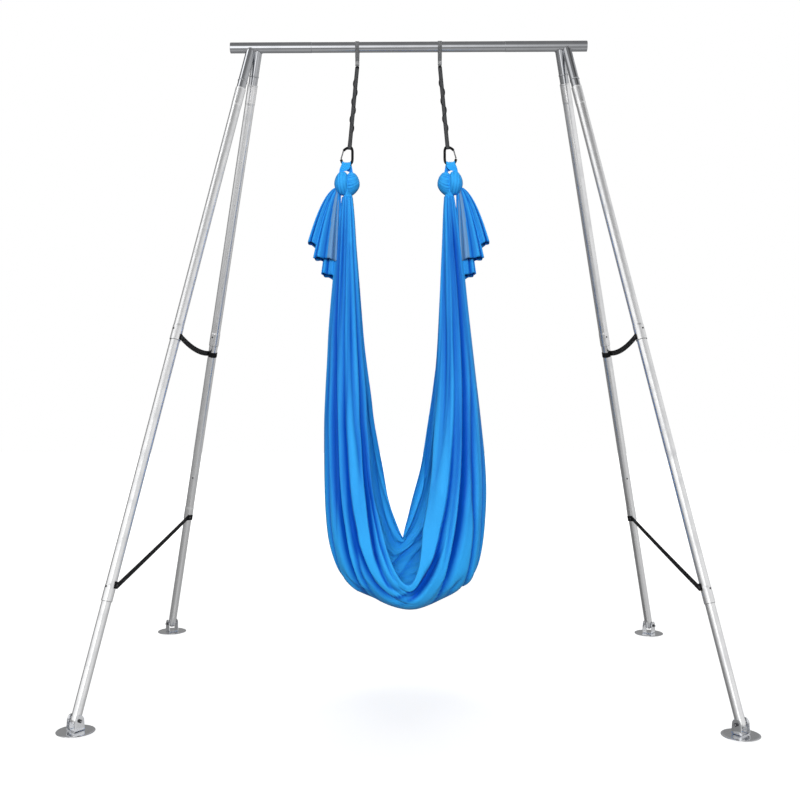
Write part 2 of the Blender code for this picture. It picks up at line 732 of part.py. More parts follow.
def lower_strap(side_name, front, rear):
    """A taut strap bolted to the front leg's inner side and the rear leg's front."""
    seat = GAP + WEBBING_THICKNESS / 2
    radius = MIDDLE_SOCKET_OUTER / 2 + seat
    start = tab(front, LOWER_STRAP_FRONT_HEIGHT, radius, 0.0)
    finish = tab(rear, LOWER_STRAP_REAR_HEIGHT, radius, -REAR_TAB_TURN)
    run = strap_run(start[-1][0], finish[0][0], front.up, rear.up, LOWER_STRAP_SAG,
                    LOWER_STRAP_STEPS)
    return webbing("lower_strap_" + side_name, start + run + finish, BLACK_WEBBING)


def strap_bolt(name, leg, height, angle, outer_radius, strap, tube):
    """A low round-headed bolt through a strap's end into the tube's wall."""
    turn = math.radians(angle)
    direction = math.cos(turn) * leg.inward + math.sin(turn) * leg.back
    face = outer_radius + 2 * GAP + WEBBING_THICKNESS
    depth = outer_radius - STRAP_BOLT_DEPTH
    top = face + STRAP_BOLT_HEAD_HEIGHT
    profile = [
        (0.0, top), (STRAP_BOLT_HEAD_RADIUS * STRAP_BOLT_CROWN_SHARE, top - GAP),
        (STRAP_BOLT_HEAD_RADIUS, face), (STRAP_BOLT_RADIUS, face), (STRAP_BOLT_RADIUS, depth), (0.0, depth),
    ]
    bolt = turned(name, profile, False, PIN_SIDES, BOLT_STEEL)
    bolt.matrix_world = along(leg.at(height), direction)
    hole = cylinder_cutter(name + "_hole", bolt.matrix_world, STRAP_BOLT_RADIUS + GAP,
                       depth - GAP, top)
    combine(strap, hole, "DIFFERENCE")
    combine(tube, hole, "DIFFERENCE")


def arc_points(radius, first, last, steps, centre=(0.0, 0.0)):
    angles = [math.radians(first + (last - first) * i / steps) for i in range(steps + 1)]
    return [(centre[0] + radius * math.cos(a), centre[1] + radius * math.sin(a)) for a in angles]


def sling(side_name, side, hub):
    """Webbing closed round the bar, its two sides sewn together below."""
    inner = HEAD_OUTER / 2 + GAP
    outer = inner + SLING_THICKNESS
    tab_half = SLING_THICKNESS
    hole = arc_points(inner, *SLING_ARC, SLING_ARC_STEPS)
    hole += [(0.0, -SLING_DROP + SLING_TAB + SLING_THICKNESS)]
    skin = arc_points(outer, *SLING_ARC, SLING_ARC_STEPS)
    skin += [(-tab_half, -SLING_DROP + SLING_TAB), (-tab_half, -SLING_DROP),
             (tab_half, -SLING_DROP), (tab_half, -SLING_DROP + SLING_TAB)]
    centre = Vector((HAMMOCK_X + side * SLING_HALF_SPAN, 0.0, BAR_Z))
    frame = axes(centre, Vector((0, 1, 0)), Vector((0, 0, 1)), Vector((1, 0, 0)))
    obj = extruded("bar_sling_" + side_name, [skin, hole], SLING_WIDTH, frame, GREY_WEBBING)
    hold(obj, hub)


def carabiner_point(side, route_point):
    x, z = route_point
    return Vector((HAMMOCK_X + side * (CARABINER_HALF_SPAN + x), 0.0, CARABINER_HEIGHT + z))


def chain(side_name, side, hub):
    """Daisy chain strap: a straight band with side loops and an eye on the carabiner."""
    eye_radius = ROD_RADIUS + EYE_PLAY
    eye = carabiner_point(side, TOP_BOW) - Vector((0.0, 0.0, EYE_PLAY / 2))
    top = Vector((HAMMOCK_X + side * SLING_HALF_SPAN, 0.0, BAR_Z - SLING_DROP - GAP))
    rise = top - eye
    length = rise.length
    up = rise.normalized()
    y_axis = Vector((0, 1, 0))
    frame = axes(eye, y_axis, up, y_axis.cross(up))
    half = CHAIN_THICKNESS / 2
    skin_radius = eye_radius + half
    end = length - 2 * GAP
    skin = arc_points(skin_radius, *CHAIN_EYE_SKIN_ARC, CHAIN_EYE_SKIN_STEPS)
    skin += [(skin_radius, 0.0), (half, CHAIN_EYE_LENGTH), (half, end), (-half, end),
             (-half, CHAIN_EYE_LENGTH), (-skin_radius, 0.0)]
    hole = arc_points(eye_radius, 180.0, 360.0, CHAIN_EYE_HOLE_STEPS)
    hole += [(eye_radius, CHAIN_EYE_SHOULDER), (0.0, CHAIN_EYE_HOLE_TOP), (-eye_radius, CHAIN_EYE_SHOULDER)]
    obj = extruded("daisy_chain_" + side_name, [skin, hole], CHAIN_WIDTH, frame, CHAIN_WEBBING)
    for i, share in enumerate(CHAIN_LOOP_SHARES):
        lean = 1 if i % 2 == 0 else -1
        root = (CHAIN_WIDTH - CHAIN_LOOP_PROUD) / 2
        out = CHAIN_WIDTH / 2 + CHAIN_LOOP_PROUD - root
        bulge = [(lean * (root + x * out), y * CHAIN_LOOP_HALF_HEIGHT)
                 for x, y in arc_points(1.0, -90.0, 90.0, CHAIN_LOOP_STEPS)]
        bulge_frame = axes(eye + up * (length * share), up.cross(y_axis), up, y_axis)
        loop = extruded("chain_loop_%s_%d" % (side_name, i), [bulge], CHAIN_LOOP_DEPTH, bulge_frame,
                        None, CUTTERS)
        combine(obj, as_cutter(loop), "UNION")
    hold(obj, hub)


def smooth_flat(points, per_span):
    """Catmull-Rom points through a flat route."""
    route = []
    count = len(points)
    for i in range(count - 1):
        a = Vector(points[max(i - 1, 0)])
        b = Vector(points[i])
        c = Vector(points[i + 1])
        d = Vector(points[min(i + 2, count - 1)])
        for k in range(per_span):
            t = k / per_span
            route.append(0.5 * ((2 * b) + (c - a) * t + (2 * a - 5 * b + 4 * c - d) * t * t
                                + (3 * b - a - 3 * c + d) * t * t * t))
    route.append(Vector(points[-1]))
    return route


def carabiner(side_name, side, hub):
    route = [carabiner_point(side, point) for point in smooth_flat(CARABINER_ROUTE, 2)]
    body = rod("carabiner_" + side_name, route, ROD_RADIUS, 2, Matrix.Identity(4), BLACK_ALLOY)
    hold(body, hub)
    pivot = carabiner_point(side, GATE_PIVOT)
    nose = carabiner_point(side, GATE_NOSE)
    length = (nose - pivot).length
    dome = arc_points(GATE_RADIUS, 0.0, -90.0, GATE_DOME_STEPS)
    profile = [(0.0, length), (GATE_RADIUS, length)] + dome[:-1] + [(0.0, -GATE_RADIUS)]
    gate = turned("gate_" + side_name, profile, False, GATE_SIDES, GATE_ALLOY)
    gate.matrix_world = along(pivot, nose - pivot, Vector((0, 1, 0)))
    hold(gate, hub)


def knot(side_name, side, hub):
    """Saddle over the carabiner, two rounded lobes and a short neck, as one body."""
    centre_x = HAMMOCK_X + side * CARABINER_HALF_SPAN
    outer = ellipsoid("knot_" + side_name, (centre_x + side * OUTER_LOBE_SHIFT, 0.0, KNOT_HEIGHT),
                      (OUTER_LOBE_HALF_WIDTH, LOBE_HALF_DEPTH, LOBE_HALF_HEIGHT), BLUE_CLOTH)
    inner_size = (INNER_LOBE_HALF_WIDTH, LOBE_HALF_DEPTH * INNER_LOBE_DEPTH_SHARE,
                  LOBE_HALF_HEIGHT * INNER_LOBE_HEIGHT_SHARE)
    inner = ellipsoid("inner_lobe_" + side_name, (centre_x + side * INNER_LOBE_SHIFT, 0.0, KNOT_HEIGHT),
                      inner_size, None, CUTTERS)
    combine(outer, as_cutter(inner), "UNION")
    inside = ROD_RADIUS + GAP * 2
    outside = inside + SADDLE_THICKNESS
    low = KNOT_HEIGHT + LOBE_HALF_HEIGHT * SADDLE_REACH_SHARE - BOTTOM_BOW_HEIGHT
    hole = arc_points(inside, 0.0, 180.0, SADDLE_ARC_STEPS)
    hole += [(-inside, -SADDLE_HOLE_SHOULDER), (0.0, -SADDLE_HOLE_DROP), (inside, -SADDLE_HOLE_SHOULDER)]
    skin = arc_points(outside, 0.0, 180.0, SADDLE_ARC_STEPS)
    skin += [(-outside * SADDLE_TAPER, low), (outside * SADDLE_TAPER, low)]
    frame = axes(Vector((centre_x, 0.0, BOTTOM_BOW_HEIGHT)), Vector((0, 1, 0)), Vector((0, 0, 1)),
                 Vector((1, 0, 0)))
    saddle = extruded("saddle_" + side_name, [skin, hole], SADDLE_WIDTH, frame, None, CUTTERS)
    combine(outer, as_cutter(saddle), "UNION")
    foot_of_neck = Matrix.Translation((HAMMOCK_X + side * STRAND_HALF_SPAN, 0.0, NECK_BOTTOM))
    neck = cylinder_cutter("neck_" + side_name, foot_of_neck, NECK_RADIUS, 0.0, KNOT_HEIGHT - NECK_BOTTOM,
                       NECK_SIDES)
    combine(outer, neck, "UNION")
    hold(outer, hub)


def tail(side_name, side, hub):
    """The knot's free end: a small pleated fall with a stepped lower edge."""
    centre = Vector((HAMMOCK_X + side * (CARABINER_HALF_SPAN + OUTER_LOBE_SHIFT), 0.0, KNOT_HEIGHT))
    skin = 2 * GAP
    low_angle, high_angle = TAIL_TOP_ANGLES

    def top_edge(v):
        turn = math.radians(low_angle + (high_angle - low_angle) * v)
        across = (OUTER_LOBE_HALF_WIDTH + skin) * math.cos(turn)
        rise = (LOBE_HALF_HEIGHT + skin) * math.sin(turn)
        return centre + Vector((side * across, 0.0, rise))

    def bottom_edge(v):
        reach = TAIL_INNER_REACH + (TAIL_OUTER_REACH - TAIL_INNER_REACH) * v
        tier = min(int((1.0 - v) * TAIL_TIERS), TAIL_TIERS - 1)
        fall = TAIL_LENGTH - TAIL_STEP * (TAIL_TIERS - 1 - tier)
        return centre + Vector((side * reach, 0.0, -fall))

    def place(u, v):
        point = top_edge(v).lerp(bottom_edge(v), u)
        bow = math.sin(math.pi * u) * TAIL_BOW * v
        fold = TAIL_FOLD_DEPTH * math.sin(2 * math.pi * TAIL_FOLDS * v) * min(u * TAIL_FOLD_RISE, 1.0)
        return point + Vector((side * bow, fold, 0.0))

    columns = POINTS_PER_TAIL_FOLD * TAIL_FOLDS - 1
    obj = sheet("tail_" + side_name, TAIL_ROWS, columns, place, TAIL_THICKNESS, BLUE_CLOTH)
    hold(obj, hub)


def inner_edge(reach):
    """Half gap and height of the inner edge: a V that opens, then runs nearly straight up."""
    rise = reach ** INNER_RISE_POWER
    x = (STRAND_HALF_SPAN - STRAND_HALF_WIDTH) * rise ** VEE_POWER
    return Vector((x, VEE_HEIGHT + (CLOTH_TOP - VEE_HEIGHT) * rise))


def outer_edge(reach):
    """Half width and height of the outer edge: a round seat, then narrowing strands."""
    if reach < SEAT_RUN_SHARE:
        turn = reach / SEAT_RUN_SHARE * math.pi / 2
        x = WIDEST_HALF * math.sin(turn) ** SEAT_WIDTH_POWER
        drop = math.cos(turn) ** SEAT_DROP_POWER
        return Vector((x, WIDEST_HEIGHT - (WIDEST_HEIGHT - HAMMOCK_BOTTOM) * drop))
    share = (reach - SEAT_RUN_SHARE) / (1.0 - SEAT_RUN_SHARE)
    narrowing = WIDEST_HALF - STRAND_HALF_SPAN - STRAND_HALF_WIDTH
    x = WIDEST_HALF - narrowing * share ** STRAND_SWELL_POWER
    return Vector((x, WIDEST_HEIGHT + (CLOTH_TOP - WIDEST_HEIGHT) * share))


def hammock(hub):
    """One pleated trough of cloth from knot to knot, open along its inner edge and rolled forward."""
    def lip(seat_angle, reach):
        rolled = max(1.0 - reach / LIP_RUN_SHARE, 0.0)
        return math.radians(STRAND_LIP_ANGLE + (seat_angle - STRAND_LIP_ANGLE) * rolled)

    def place(u, v):
        run = 2.0 * u - 1.0
        side = -1.0 if run < 0 else 1.0
        reach = abs(run) ** STATION_SPREAD
        rear = lip(REAR_LIP_ANGLE, reach)
        turn = rear + (2 * math.pi - rear - lip(FRONT_LIP_ANGLE, reach)) * v
        share = 0.5 - 0.5 * math.cos(turn)
        inner = inner_edge(reach)
        outer = outer_edge(reach)
        deep = min((1.0 - reach) / DEPTH_RUN_SHARE, 1.0) ** DEPTH_POWER
        half_depth = TOP_DEPTH + (SEAT_DEPTH - TOP_DEPTH) * deep
        size = min((outer - inner).length / 2, half_depth)
        fold = FOLD_DEPTH_SHARE * size * math.cos(2 * math.pi * CLOTH_FOLDS * v)
        point = inner.lerp(outer, share) - math.cos(turn) * fold * (outer - inner).normalized()
        fallen = min((CLOTH_TOP - point.y) / (CLOTH_TOP - HAMMOCK_BOTTOM), 1.0)
        shift = (INNER_SHIFT + (OUTER_SHIFT - INNER_SHIFT) * share) * max(fallen, 0.0) ** SHIFT_POWER
        return Vector((HAMMOCK_X + side * point.x + shift, (half_depth + fold) * math.sin(turn), point.y))

    obj = sheet("hammock_cloth", CLOTH_STATIONS, CLOTH_POINTS, place, CLOTH_THICKNESS, BLUE_CLOTH)
    hold(obj, hub)


def build():
    bar_middle()
    tubes = {}
    for side_name, side in SIDES:
        head(side_name, side)
    for leg in LEGS:
        upper = upper_tube(leg)
        middle = middle_tube(leg)
        lower = lower_tube(leg)
        tubes[leg.name] = (upper, middle, lower)
        turn = FRONT_BUTTON_TURN if leg.end < 0 else REAR_UPPER_BUTTON_TURN
        height = height_above(leg, UPPER_END_HEIGHT, UPPER_BUTTON_ABOVE_END)
        snap_button(leg.name + "_upper_button", leg, height, turn, (upper, middle),
                    UPPER_SOCKET_OUTER / 2, LOWER_OUTER / 2 + GAP)
        turn = FRONT_BUTTON_TURN if leg.end < 0 else REAR_LOWER_BUTTON_TURN
        height = height_above(leg, leg.lower_joint, lower_button_above_end(leg))
        wall = MIDDLE_SOCKET_OUTER / 2 if leg.end < 0 else MIDDLE_OUTER / 2
        snap_button(leg.name + "_lower_button", leg, height, turn, (middle, lower),
                    wall, LOWER_OUTER / 2 - LOWER_WALL)
        foot(leg)
    for side_name, side in SIDES:
        front = next(leg for leg in LEGS if leg.side == side and leg.end < 0)
        rear = next(leg for leg in LEGS if leg.side == side and leg.end > 0)
        strap = upper_strap(side_name, front, rear)
        strap_bolt("upper_strap_bolt_" + side_name, front, UPPER_STRAP_FRONT_HEIGHT, 0.0,
                   UPPER_SOCKET_OUTER / 2, strap, tubes[front.name][0])
        strap = lower_strap(side_name, front, rear)
        strap_bolt("lower_strap_front_bolt_" + side_name, front, LOWER_STRAP_FRONT_HEIGHT, 0.0,
                   MIDDLE_SOCKET_OUTER / 2, strap, tubes[front.name][1])
        strap_bolt("lower_strap_rear_bolt_" + side_name, rear, LOWER_STRAP_REAR_HEIGHT, -REAR_TAB_TURN,
                   MIDDLE_SOCKET_OUTER / 2, strap, tubes[rear.name][1])
    slings = bpy.data.objects.new("sling_pivot", None)
    PART.objects.link(slings)
    slings.matrix_world = Matrix.Translation((0.0, 0.0, BAR_Z))
    cloth = bpy.data.objects.new("hammock_pivot", None)
    PART.objects.link(cloth)
    cloth.matrix_world = Matrix.Translation((0.0, 0.0, BOTTOM_BOW_HEIGHT))
    hold(cloth, slings)
    for side_name, side in SIDES:
        sling(side_name, side, slings)
        chain(side_name, side, slings)
        carabiner(side_name, side, slings)
        knot(side_name, side, cloth)
        tail(side_name, side, cloth)
    hammock(cloth)


build()
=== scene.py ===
"""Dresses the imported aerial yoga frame: chrome tubes, webbing, carabiners and a pleated cloth hammock.

Metres, +Z up.  +X runs along the top bar to the right, +Y to the rear, and the floor is z = 0.
"""
import math
from functools import partial

import bmesh
import bpy
from mathutils import Matrix, Vector, noise


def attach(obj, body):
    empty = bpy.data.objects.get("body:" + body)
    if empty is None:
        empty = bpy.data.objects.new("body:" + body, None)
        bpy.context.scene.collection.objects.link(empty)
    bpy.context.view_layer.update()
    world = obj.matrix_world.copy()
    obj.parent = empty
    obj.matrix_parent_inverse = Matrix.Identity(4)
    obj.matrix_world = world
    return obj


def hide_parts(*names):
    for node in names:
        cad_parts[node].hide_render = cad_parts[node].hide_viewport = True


bl_info = {
    "name": "Aerial yoga frame",
    "version": (1, 0, 0),
    "blender": (4, 5, 0),
    "location": "View3D > Sidebar > Yoga frame",
    "description": "Builds the chrome stand, its webbing and its cloth hammock around the packed frame",
    "category": "Add Mesh",
}

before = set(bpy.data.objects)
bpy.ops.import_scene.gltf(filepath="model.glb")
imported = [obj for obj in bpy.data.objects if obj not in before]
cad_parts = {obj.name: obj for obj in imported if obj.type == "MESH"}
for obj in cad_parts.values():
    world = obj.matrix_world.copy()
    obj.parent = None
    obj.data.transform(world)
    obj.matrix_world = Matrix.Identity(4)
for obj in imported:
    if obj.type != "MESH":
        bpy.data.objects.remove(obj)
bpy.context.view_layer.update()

UP = Vector((0.0, 0.0, 1.0))
REARWARD = Vector((0.0, 1.0, 0.0))
RIGHTWARD = Vector((1.0, 0.0, 0.0))

# Stance, as in the part's source
HEIGHT = 2.93
FOOT_SPAN_X = 2.59
FOOT_SPAN_Y = 1.62
HEAD_SPANS = {"front": 1.456, "rear": 1.392}
BAR_LENGTH = 1.65
HEAD_OUTER = 0.049
HEAD_WALL = 0.0015
HEAD_LENGTH = 0.377
BAR_OUTER = 0.048
BAR_WALL = 0.0015
SPIGOT_LENGTH = 0.10
BAR_Z = HEIGHT - HEAD_OUTER / 2

# Leg tubes
STUB_OUTER = 0.0415
STUB_WALL = 0.0015
UPPER_OUTER = 0.045
UPPER_SOCKET_OUTER = 0.0472
MOUTH_OUTER = 0.0466
MOUTH_LENGTH = 0.085
MIDDLE_OUTER = 0.0425
MIDDLE_SOCKET_OUTER = 0.0446
LOWER_OUTER = 0.0392
LOWER_WALL = 0.0014
SOCKET_LENGTH = 0.062
SOCKET_TAPER = 0.008
INSERT_LENGTH = 0.12
STUB_INSERT = 0.10
MOUTH_DROPS = {"front": 0.2055, "rear": 0.1605}
UPPER_END_HEIGHT = 1.535
LOWER_JOINTS = {"front": 0.480, "rear": 0.635}
STOP_BEAD_ABOVE = 0.040

# Snap buttons
BUTTON_RADIUS = 0.004
BUTTON_PROUD = 0.0026
UPPER_BUTTON_ABOVE_END = 0.047
LOWER_BUTTONS_ABOVE_END = {"front": 0.057, "rear": 0.238}
UPPER_BUTTON_TURNS = {"front": 32.0, "rear": 24.0}
LOWER_BUTTON_TURNS = {"front": 32.0, "rear": 8.0}

# Feet
PLATE_RADIUS = 0.075
PLATE_THICKNESS = 0.004
PIVOT_HEIGHT = 0.045
BRACKET_SHEET = 0.0032
BRACKET_INNER_WIDTH = 0.046
BRACKET_LENGTH = 0.046
EAR_TOP_RADIUS = 0.021
EAR_SHOULDER_HEIGHT = 0.022
FOOT_BOLT_RADIUS = 0.004

# Straps
WEBBING_WIDTH = 0.025
WEBBING_THICKNESS = 0.0018
UPPER_STRAP_HEIGHTS = {"front": 1.552, "rear": 1.492}
UPPER_STRAP_SAG = 0.016
STRAP_LOOP_ARC = (180.0, -128.0)
LOWER_STRAP_HEIGHTS = {"front": 0.545, "rear": 0.649}
LOWER_STRAP_SAG = 0.002
STRAP_TAB = 0.014
REAR_TAB_TURN = 55.0

# Hangers
HAMMOCK_X = -0.045
SLING_HALF_SPAN = 0.191
SLING_WIDTH = 0.0185
SLING_THICKNESS = 0.002
SLING_DROP = 0.088
SLING_TAB = 0.018
CHAIN_WIDTH = 0.013
CHAIN_LOOP_SHARES = (0.24, 0.35, 0.46, 0.57, 0.68, 0.79)
CARABINER_HALF_SPAN = 0.240
CARABINER_HEIGHT = 2.401
ROD_RADIUS = 0.0055
GATE_RADIUS = 0.0034
GATE_PIVOT = (0.0158, 0.0232)
GATE_NOSE = (0.0262, -0.0118)
TOP_BOW = (-0.013, 0.0385)
BOTTOM_BOW_Z = -0.038
BOW_FLAT = 0.007
CARABINER_ROUTE = (
    (0.0258, -0.0165), (0.0215, -0.0290), (0.0140, -0.0372), (0.007, -0.038),
    (-0.007, -0.038), (-0.0150, -0.0368), (-0.0235, -0.0285), (-0.0262, -0.014),
    (-0.0264, 0.006), (-0.0262, 0.024), (-0.0235, 0.0345), (-0.020, 0.0385),
    (-0.006, 0.0385), (0.0025, 0.0352), (0.0095, 0.0305), (0.0137, 0.0265),
)
EYE_RADIUS = 0.0066

# Knots and tails
KNOT_HEIGHT = 2.272
LOBE_HALF_HEIGHT = 0.0565
LOBE_HALF_DEPTH = 0.040
OUTER_LOBE_HALF_WIDTH = 0.036
OUTER_LOBE_SHIFT = 0.0225
INNER_LOBE_HALF_WIDTH = 0.030
INNER_LOBE_SHIFT = -0.0275
NECK_RADIUS = 0.020
CLOTH_TOP = 2.2117
GAP = 0.0003

# Finish of the meshes: how near to a rounded rim a tube's long sides stay straight, how high the painted
# shadow at a socket's mouth reaches, and the angles in degrees past which an edge stays sharp
RIM_HOLD = 0.0012
DARK_RIM = 0.0014
CREASE, TUBE_CREASE, WIDE_CREASE = 38.0, 50.0, 60.0

SIDES = (("left", -1), ("right", 1))
ENDS = (("front", -1), ("rear", 1))


# ---- Settings ----

class StandSettings(bpy.types.PropertyGroup):
    """Finish of the metal stand."""
    tube_sides: bpy.props.IntProperty(
        name="Tube sides", description="Facets round each tube", default=64, min=16, max=128)
    rim_radius: bpy.props.FloatProperty(
        name="Rim rounding", description="Rounding of the tubes' rims", default=0.0009, unit="LENGTH")
    weld_radius: bpy.props.FloatProperty(
        name="Weld bead", description="Radius of the weld beads on the bar", default=0.0024, unit="LENGTH")
    chrome: bpy.props.FloatVectorProperty(
        name="Leg chrome", description="Reflected colour of the legs", subtype="COLOR", size=3,
        default=(0.90, 0.902, 0.908))
    bar_chrome: bpy.props.FloatVectorProperty(
        name="Bar chrome", description="Reflected colour of the bar", subtype="COLOR", size=3,
        default=(0.50, 0.51, 0.53))
    foot_chrome: bpy.props.FloatVectorProperty(
        name="Foot chrome", description="Reflected colour of the feet", subtype="COLOR", size=3,
        default=(0.86, 0.87, 0.89))


class WebbingSettings(bpy.types.PropertyGroup):
    """Straps, slings and daisy chains."""
    rib: bpy.props.FloatProperty(
        name="Rib width", description="Width of one rib of the weave", default=0.0021, unit="LENGTH")
    stitch: bpy.props.FloatProperty(
        name="Stitch length", description="Length of one stitch", default=0.0032, unit="LENGTH")
    strap_colour: bpy.props.FloatVectorProperty(
        name="Strap", description="Colour of the spreader straps", subtype="COLOR", size=3,
        default=(0.006, 0.006, 0.0065))
    sling_colour: bpy.props.FloatVectorProperty(
        name="Sling", description="Colour of the slings on the bar", subtype="COLOR", size=3,
        default=(0.085, 0.087, 0.09))
    chain_colour: bpy.props.FloatVectorProperty(
        name="Daisy chain", description="Colour of the daisy chains", subtype="COLOR", size=3,
        default=(0.032, 0.033, 0.035))


class ClothSettings(bpy.types.PropertyGroup):
    """The hammock, its knots and its tails."""
    colour: bpy.props.FloatVectorProperty(
        name="Cloth", description="Colour of the cloth on its ridges", subtype="COLOR", size=3,
        default=(0.036, 0.43, 0.97))
    # Painted shade: the colour the cloth takes deep in its folds.
    fold_shade_colour: bpy.props.FloatVectorProperty(
        name="Valleys", description="Colour of the cloth deep in its folds", subtype="COLOR", size=3,
        default=(0.001, 0.085, 0.50))
    # Painted light: a paler colour where one layer of cloth lets light through.
    backlit_colour: bpy.props.FloatVectorProperty(
        name="Single layer", description="Colour where one layer lets light through", subtype="COLOR", size=3,
        default=(0.17, 0.38, 0.70))
    thickness: bpy.props.FloatProperty(
        name="Thickness", description="Thickness of the cloth", default=0.0012, unit="LENGTH")
    fold_scale: bpy.props.FloatProperty(
        name="Fold depth", description="Share of the folds' full depth", default=1.0)
    knit: bpy.props.FloatProperty(
        name="Knit", description="Width of one wale of the knit", default=0.0011, unit="LENGTH")


class StudioSettings(bpy.types.PropertyGroup):
    """Floor, lights and camera."""
    camera_place: bpy.props.FloatVectorProperty(
        name="Camera place", description="Where the camera stands", subtype="TRANSLATION", size=3,
        unit="LENGTH", default=(0.0425, -4.8315, 1.3776))
    camera_turn: bpy.props.FloatProperty(
        name="Camera turn", description="Turn to the left, level", default=0.0167, subtype="ANGLE",
        unit="ROTATION")
    lens: bpy.props.FloatProperty(name="Lens", description="Focal length in millimetres", default=46.95)
    shift_down: bpy.props.FloatProperty(
        name="Shift", description="Vertical shift of the picture", default=-0.02875)
    sky: bpy.props.FloatProperty(
        name="Sky", description="Strength of the even light from all round", default=0.18)
    key: bpy.props.FloatProperty(
        name="Front light", description="Strength of the soft light beside the camera", default=2.15)
    fill: bpy.props.FloatProperty(
        name="Side lights", description="Strength of each of the two soft lights from the sides",
        default=0.55)
    top: bpy.props.FloatProperty(
        name="Top light", description="Strength of the soft light from above", default=0.9)


# ---- Placements ----

def axes(origin, x_axis, y_axis, z_axis):
    """A placement whose columns are three perpendicular unit directions."""
    return Matrix.Translation(origin) @ Matrix((x_axis, y_axis, z_axis)).transposed().to_4x4()


def along(origin, direction, side=UP):
    """A placement whose Z axis follows a direction."""
    z_axis = Vector(direction).normalized()
    x_axis = Vector(side).cross(z_axis)
    if x_axis.length < 0.001:
        x_axis = RIGHTWARD.copy()
    x_axis.normalize()
    return axes(origin, x_axis, z_axis.cross(x_axis), z_axis)


class Leg:
    """One leg's straight line from the bar's axis to the floor."""

    def __init__(self, side_name, side, end_name, end):
        self.name = end_name + "_" + side_name
        self.side = side
        self.end_name = end_name
        self.end = end
        self.head = Vector((side * HEAD_SPANS[end_name] / 2, 0.0, BAR_Z))
        self.toe = Vector((side * FOOT_SPAN_X / 2, end * FOOT_SPAN_Y / 2, 0.0))
        self.up = (self.head - self.toe).normalized()
        self.bolt_axis = UP.cross(self.up).normalized()
        inward = -side * RIGHTWARD
        self.inward = (inward - inward.dot(self.up) * self.up).normalized()
        back = self.up.cross(self.inward)
        self.back = back if back.y > 0 else -back
        self.mouth = BAR_Z - MOUTH_DROPS[end_name]
        self.lower_joint = LOWER_JOINTS[end_name]
        self.stub_run = self.run(self.mouth, BAR_Z)
        self.bead_run = self.stub_run - STOP_BEAD_ABOVE

    def at(self, height):
        return self.toe + (self.head - self.toe) * (height / BAR_Z)

    def place(self, height):
        return axes(self.at(height), self.bolt_axis, self.up.cross(self.bolt_axis), self.up)

    def run(self, low, high):
        return (self.at(high) - self.at(low)).length

    def outward(self, turn):
        """A direction square to the leg, turned from facing front toward the outside."""
        angle = math.radians(turn)
        return -math.cos(angle) * self.back - math.sin(angle) * self.inward

    def toward(self, angle):
        """A direction square to the leg: 0 degrees inward, 90 to the rear."""
        turn = math.radians(angle)
        return math.cos(turn) * self.inward + math.sin(turn) * self.back

    def around(self, height, radius, angle):
        """A point beside the leg, at an angle round it."""
        return self.at(height) + radius * self.toward(angle)


LEGS = [Leg(side_name, side, end_name, end) for side_name, side in SIDES for end_name, end in ENDS]


def bar_place(side):
    """Placement along the bar's axis, with Z pointing to one of its ends."""
    return axes((0, 0, BAR_Z), side * REARWARD, UP, side * RIGHTWARD)


# ---- Modelling ----

def clamp(value):
    return min(max(value, 0.0), 1.0)


def placed(name, data):
    """An object of this name in the scene."""
    obj = bpy.data.objects.new(name, data)
    bpy.context.scene.collection.objects.link(obj)
    return obj


def formed(name, bm):
    """An object made of a finished form."""
    mesh = bpy.data.meshes.new(name)
    bm.to_mesh(mesh)
    bm.free()
    return placed(name, mesh)


class Piece:
    """Collects the turned, swept and folded parts of one named object."""

    def __init__(self, name):
        self.name = name
        self.bm = bmesh.new()
        self.bm.verts.layers.float_vector.new("grain")
        self.bm.verts.layers.float.new("painted_shade")
        self.looks = []

    def add(self, part, look, place=None, rim=0.0):
        """Adds a part; what lies below the rim's height takes the painted shadow's look."""
        for name in (look, "rim_shadow") if rim else (look,):
            if name not in self.looks:
                self.looks.append(name)
        for face in part.faces:
            low = rim and face.calc_center_median().z < rim
            face.material_index = self.looks.index("rim_shadow" if low else look)
            face.smooth = True
        if place is not None:
            bmesh.ops.transform(part, matrix=place, verts=part.verts)
            if place.determinant() < 0:
                bmesh.ops.reverse_faces(part, faces=part.faces)
        held = bpy.data.meshes.new("held")
        part.to_mesh(held)
        part.free()
        self.bm.from_mesh(held)
        bpy.data.meshes.remove(held)

    def done(self, body, *nodes, slot, crease=CREASE):
        obj = formed(self.name, self.bm)
        for look in self.looks:
            obj.data.materials.append(bpy.data.materials[look])
        if crease is not None:
            obj.data.set_sharp_from_angle(angle=math.radians(crease))
        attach(obj, body)
        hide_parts(*nodes)
        return obj


def single(name, part, look, place, body, node, slot, crease=CREASE, rim=0.0):
    """A piece of one part."""
    piece = Piece(name)
    piece.add(part, look, place, rim)
    return piece.done(body, node, slot=slot, crease=crease)


def marked(bm):
    """Notes each point's own place, for the patterns that follow the piece."""
    layer = bm.verts.layers.float_vector.get("grain") or bm.verts.layers.float_vector.new("grain")
    for vert in bm.verts:
        vert[layer] = vert.co
    return bm


def bent(start, corner, end, t):
    """A point at share t of the bend that a corner draws between two ends."""
    return (1 - t) ** 2 * start + 2 * (1 - t) * t * corner + t * t * end


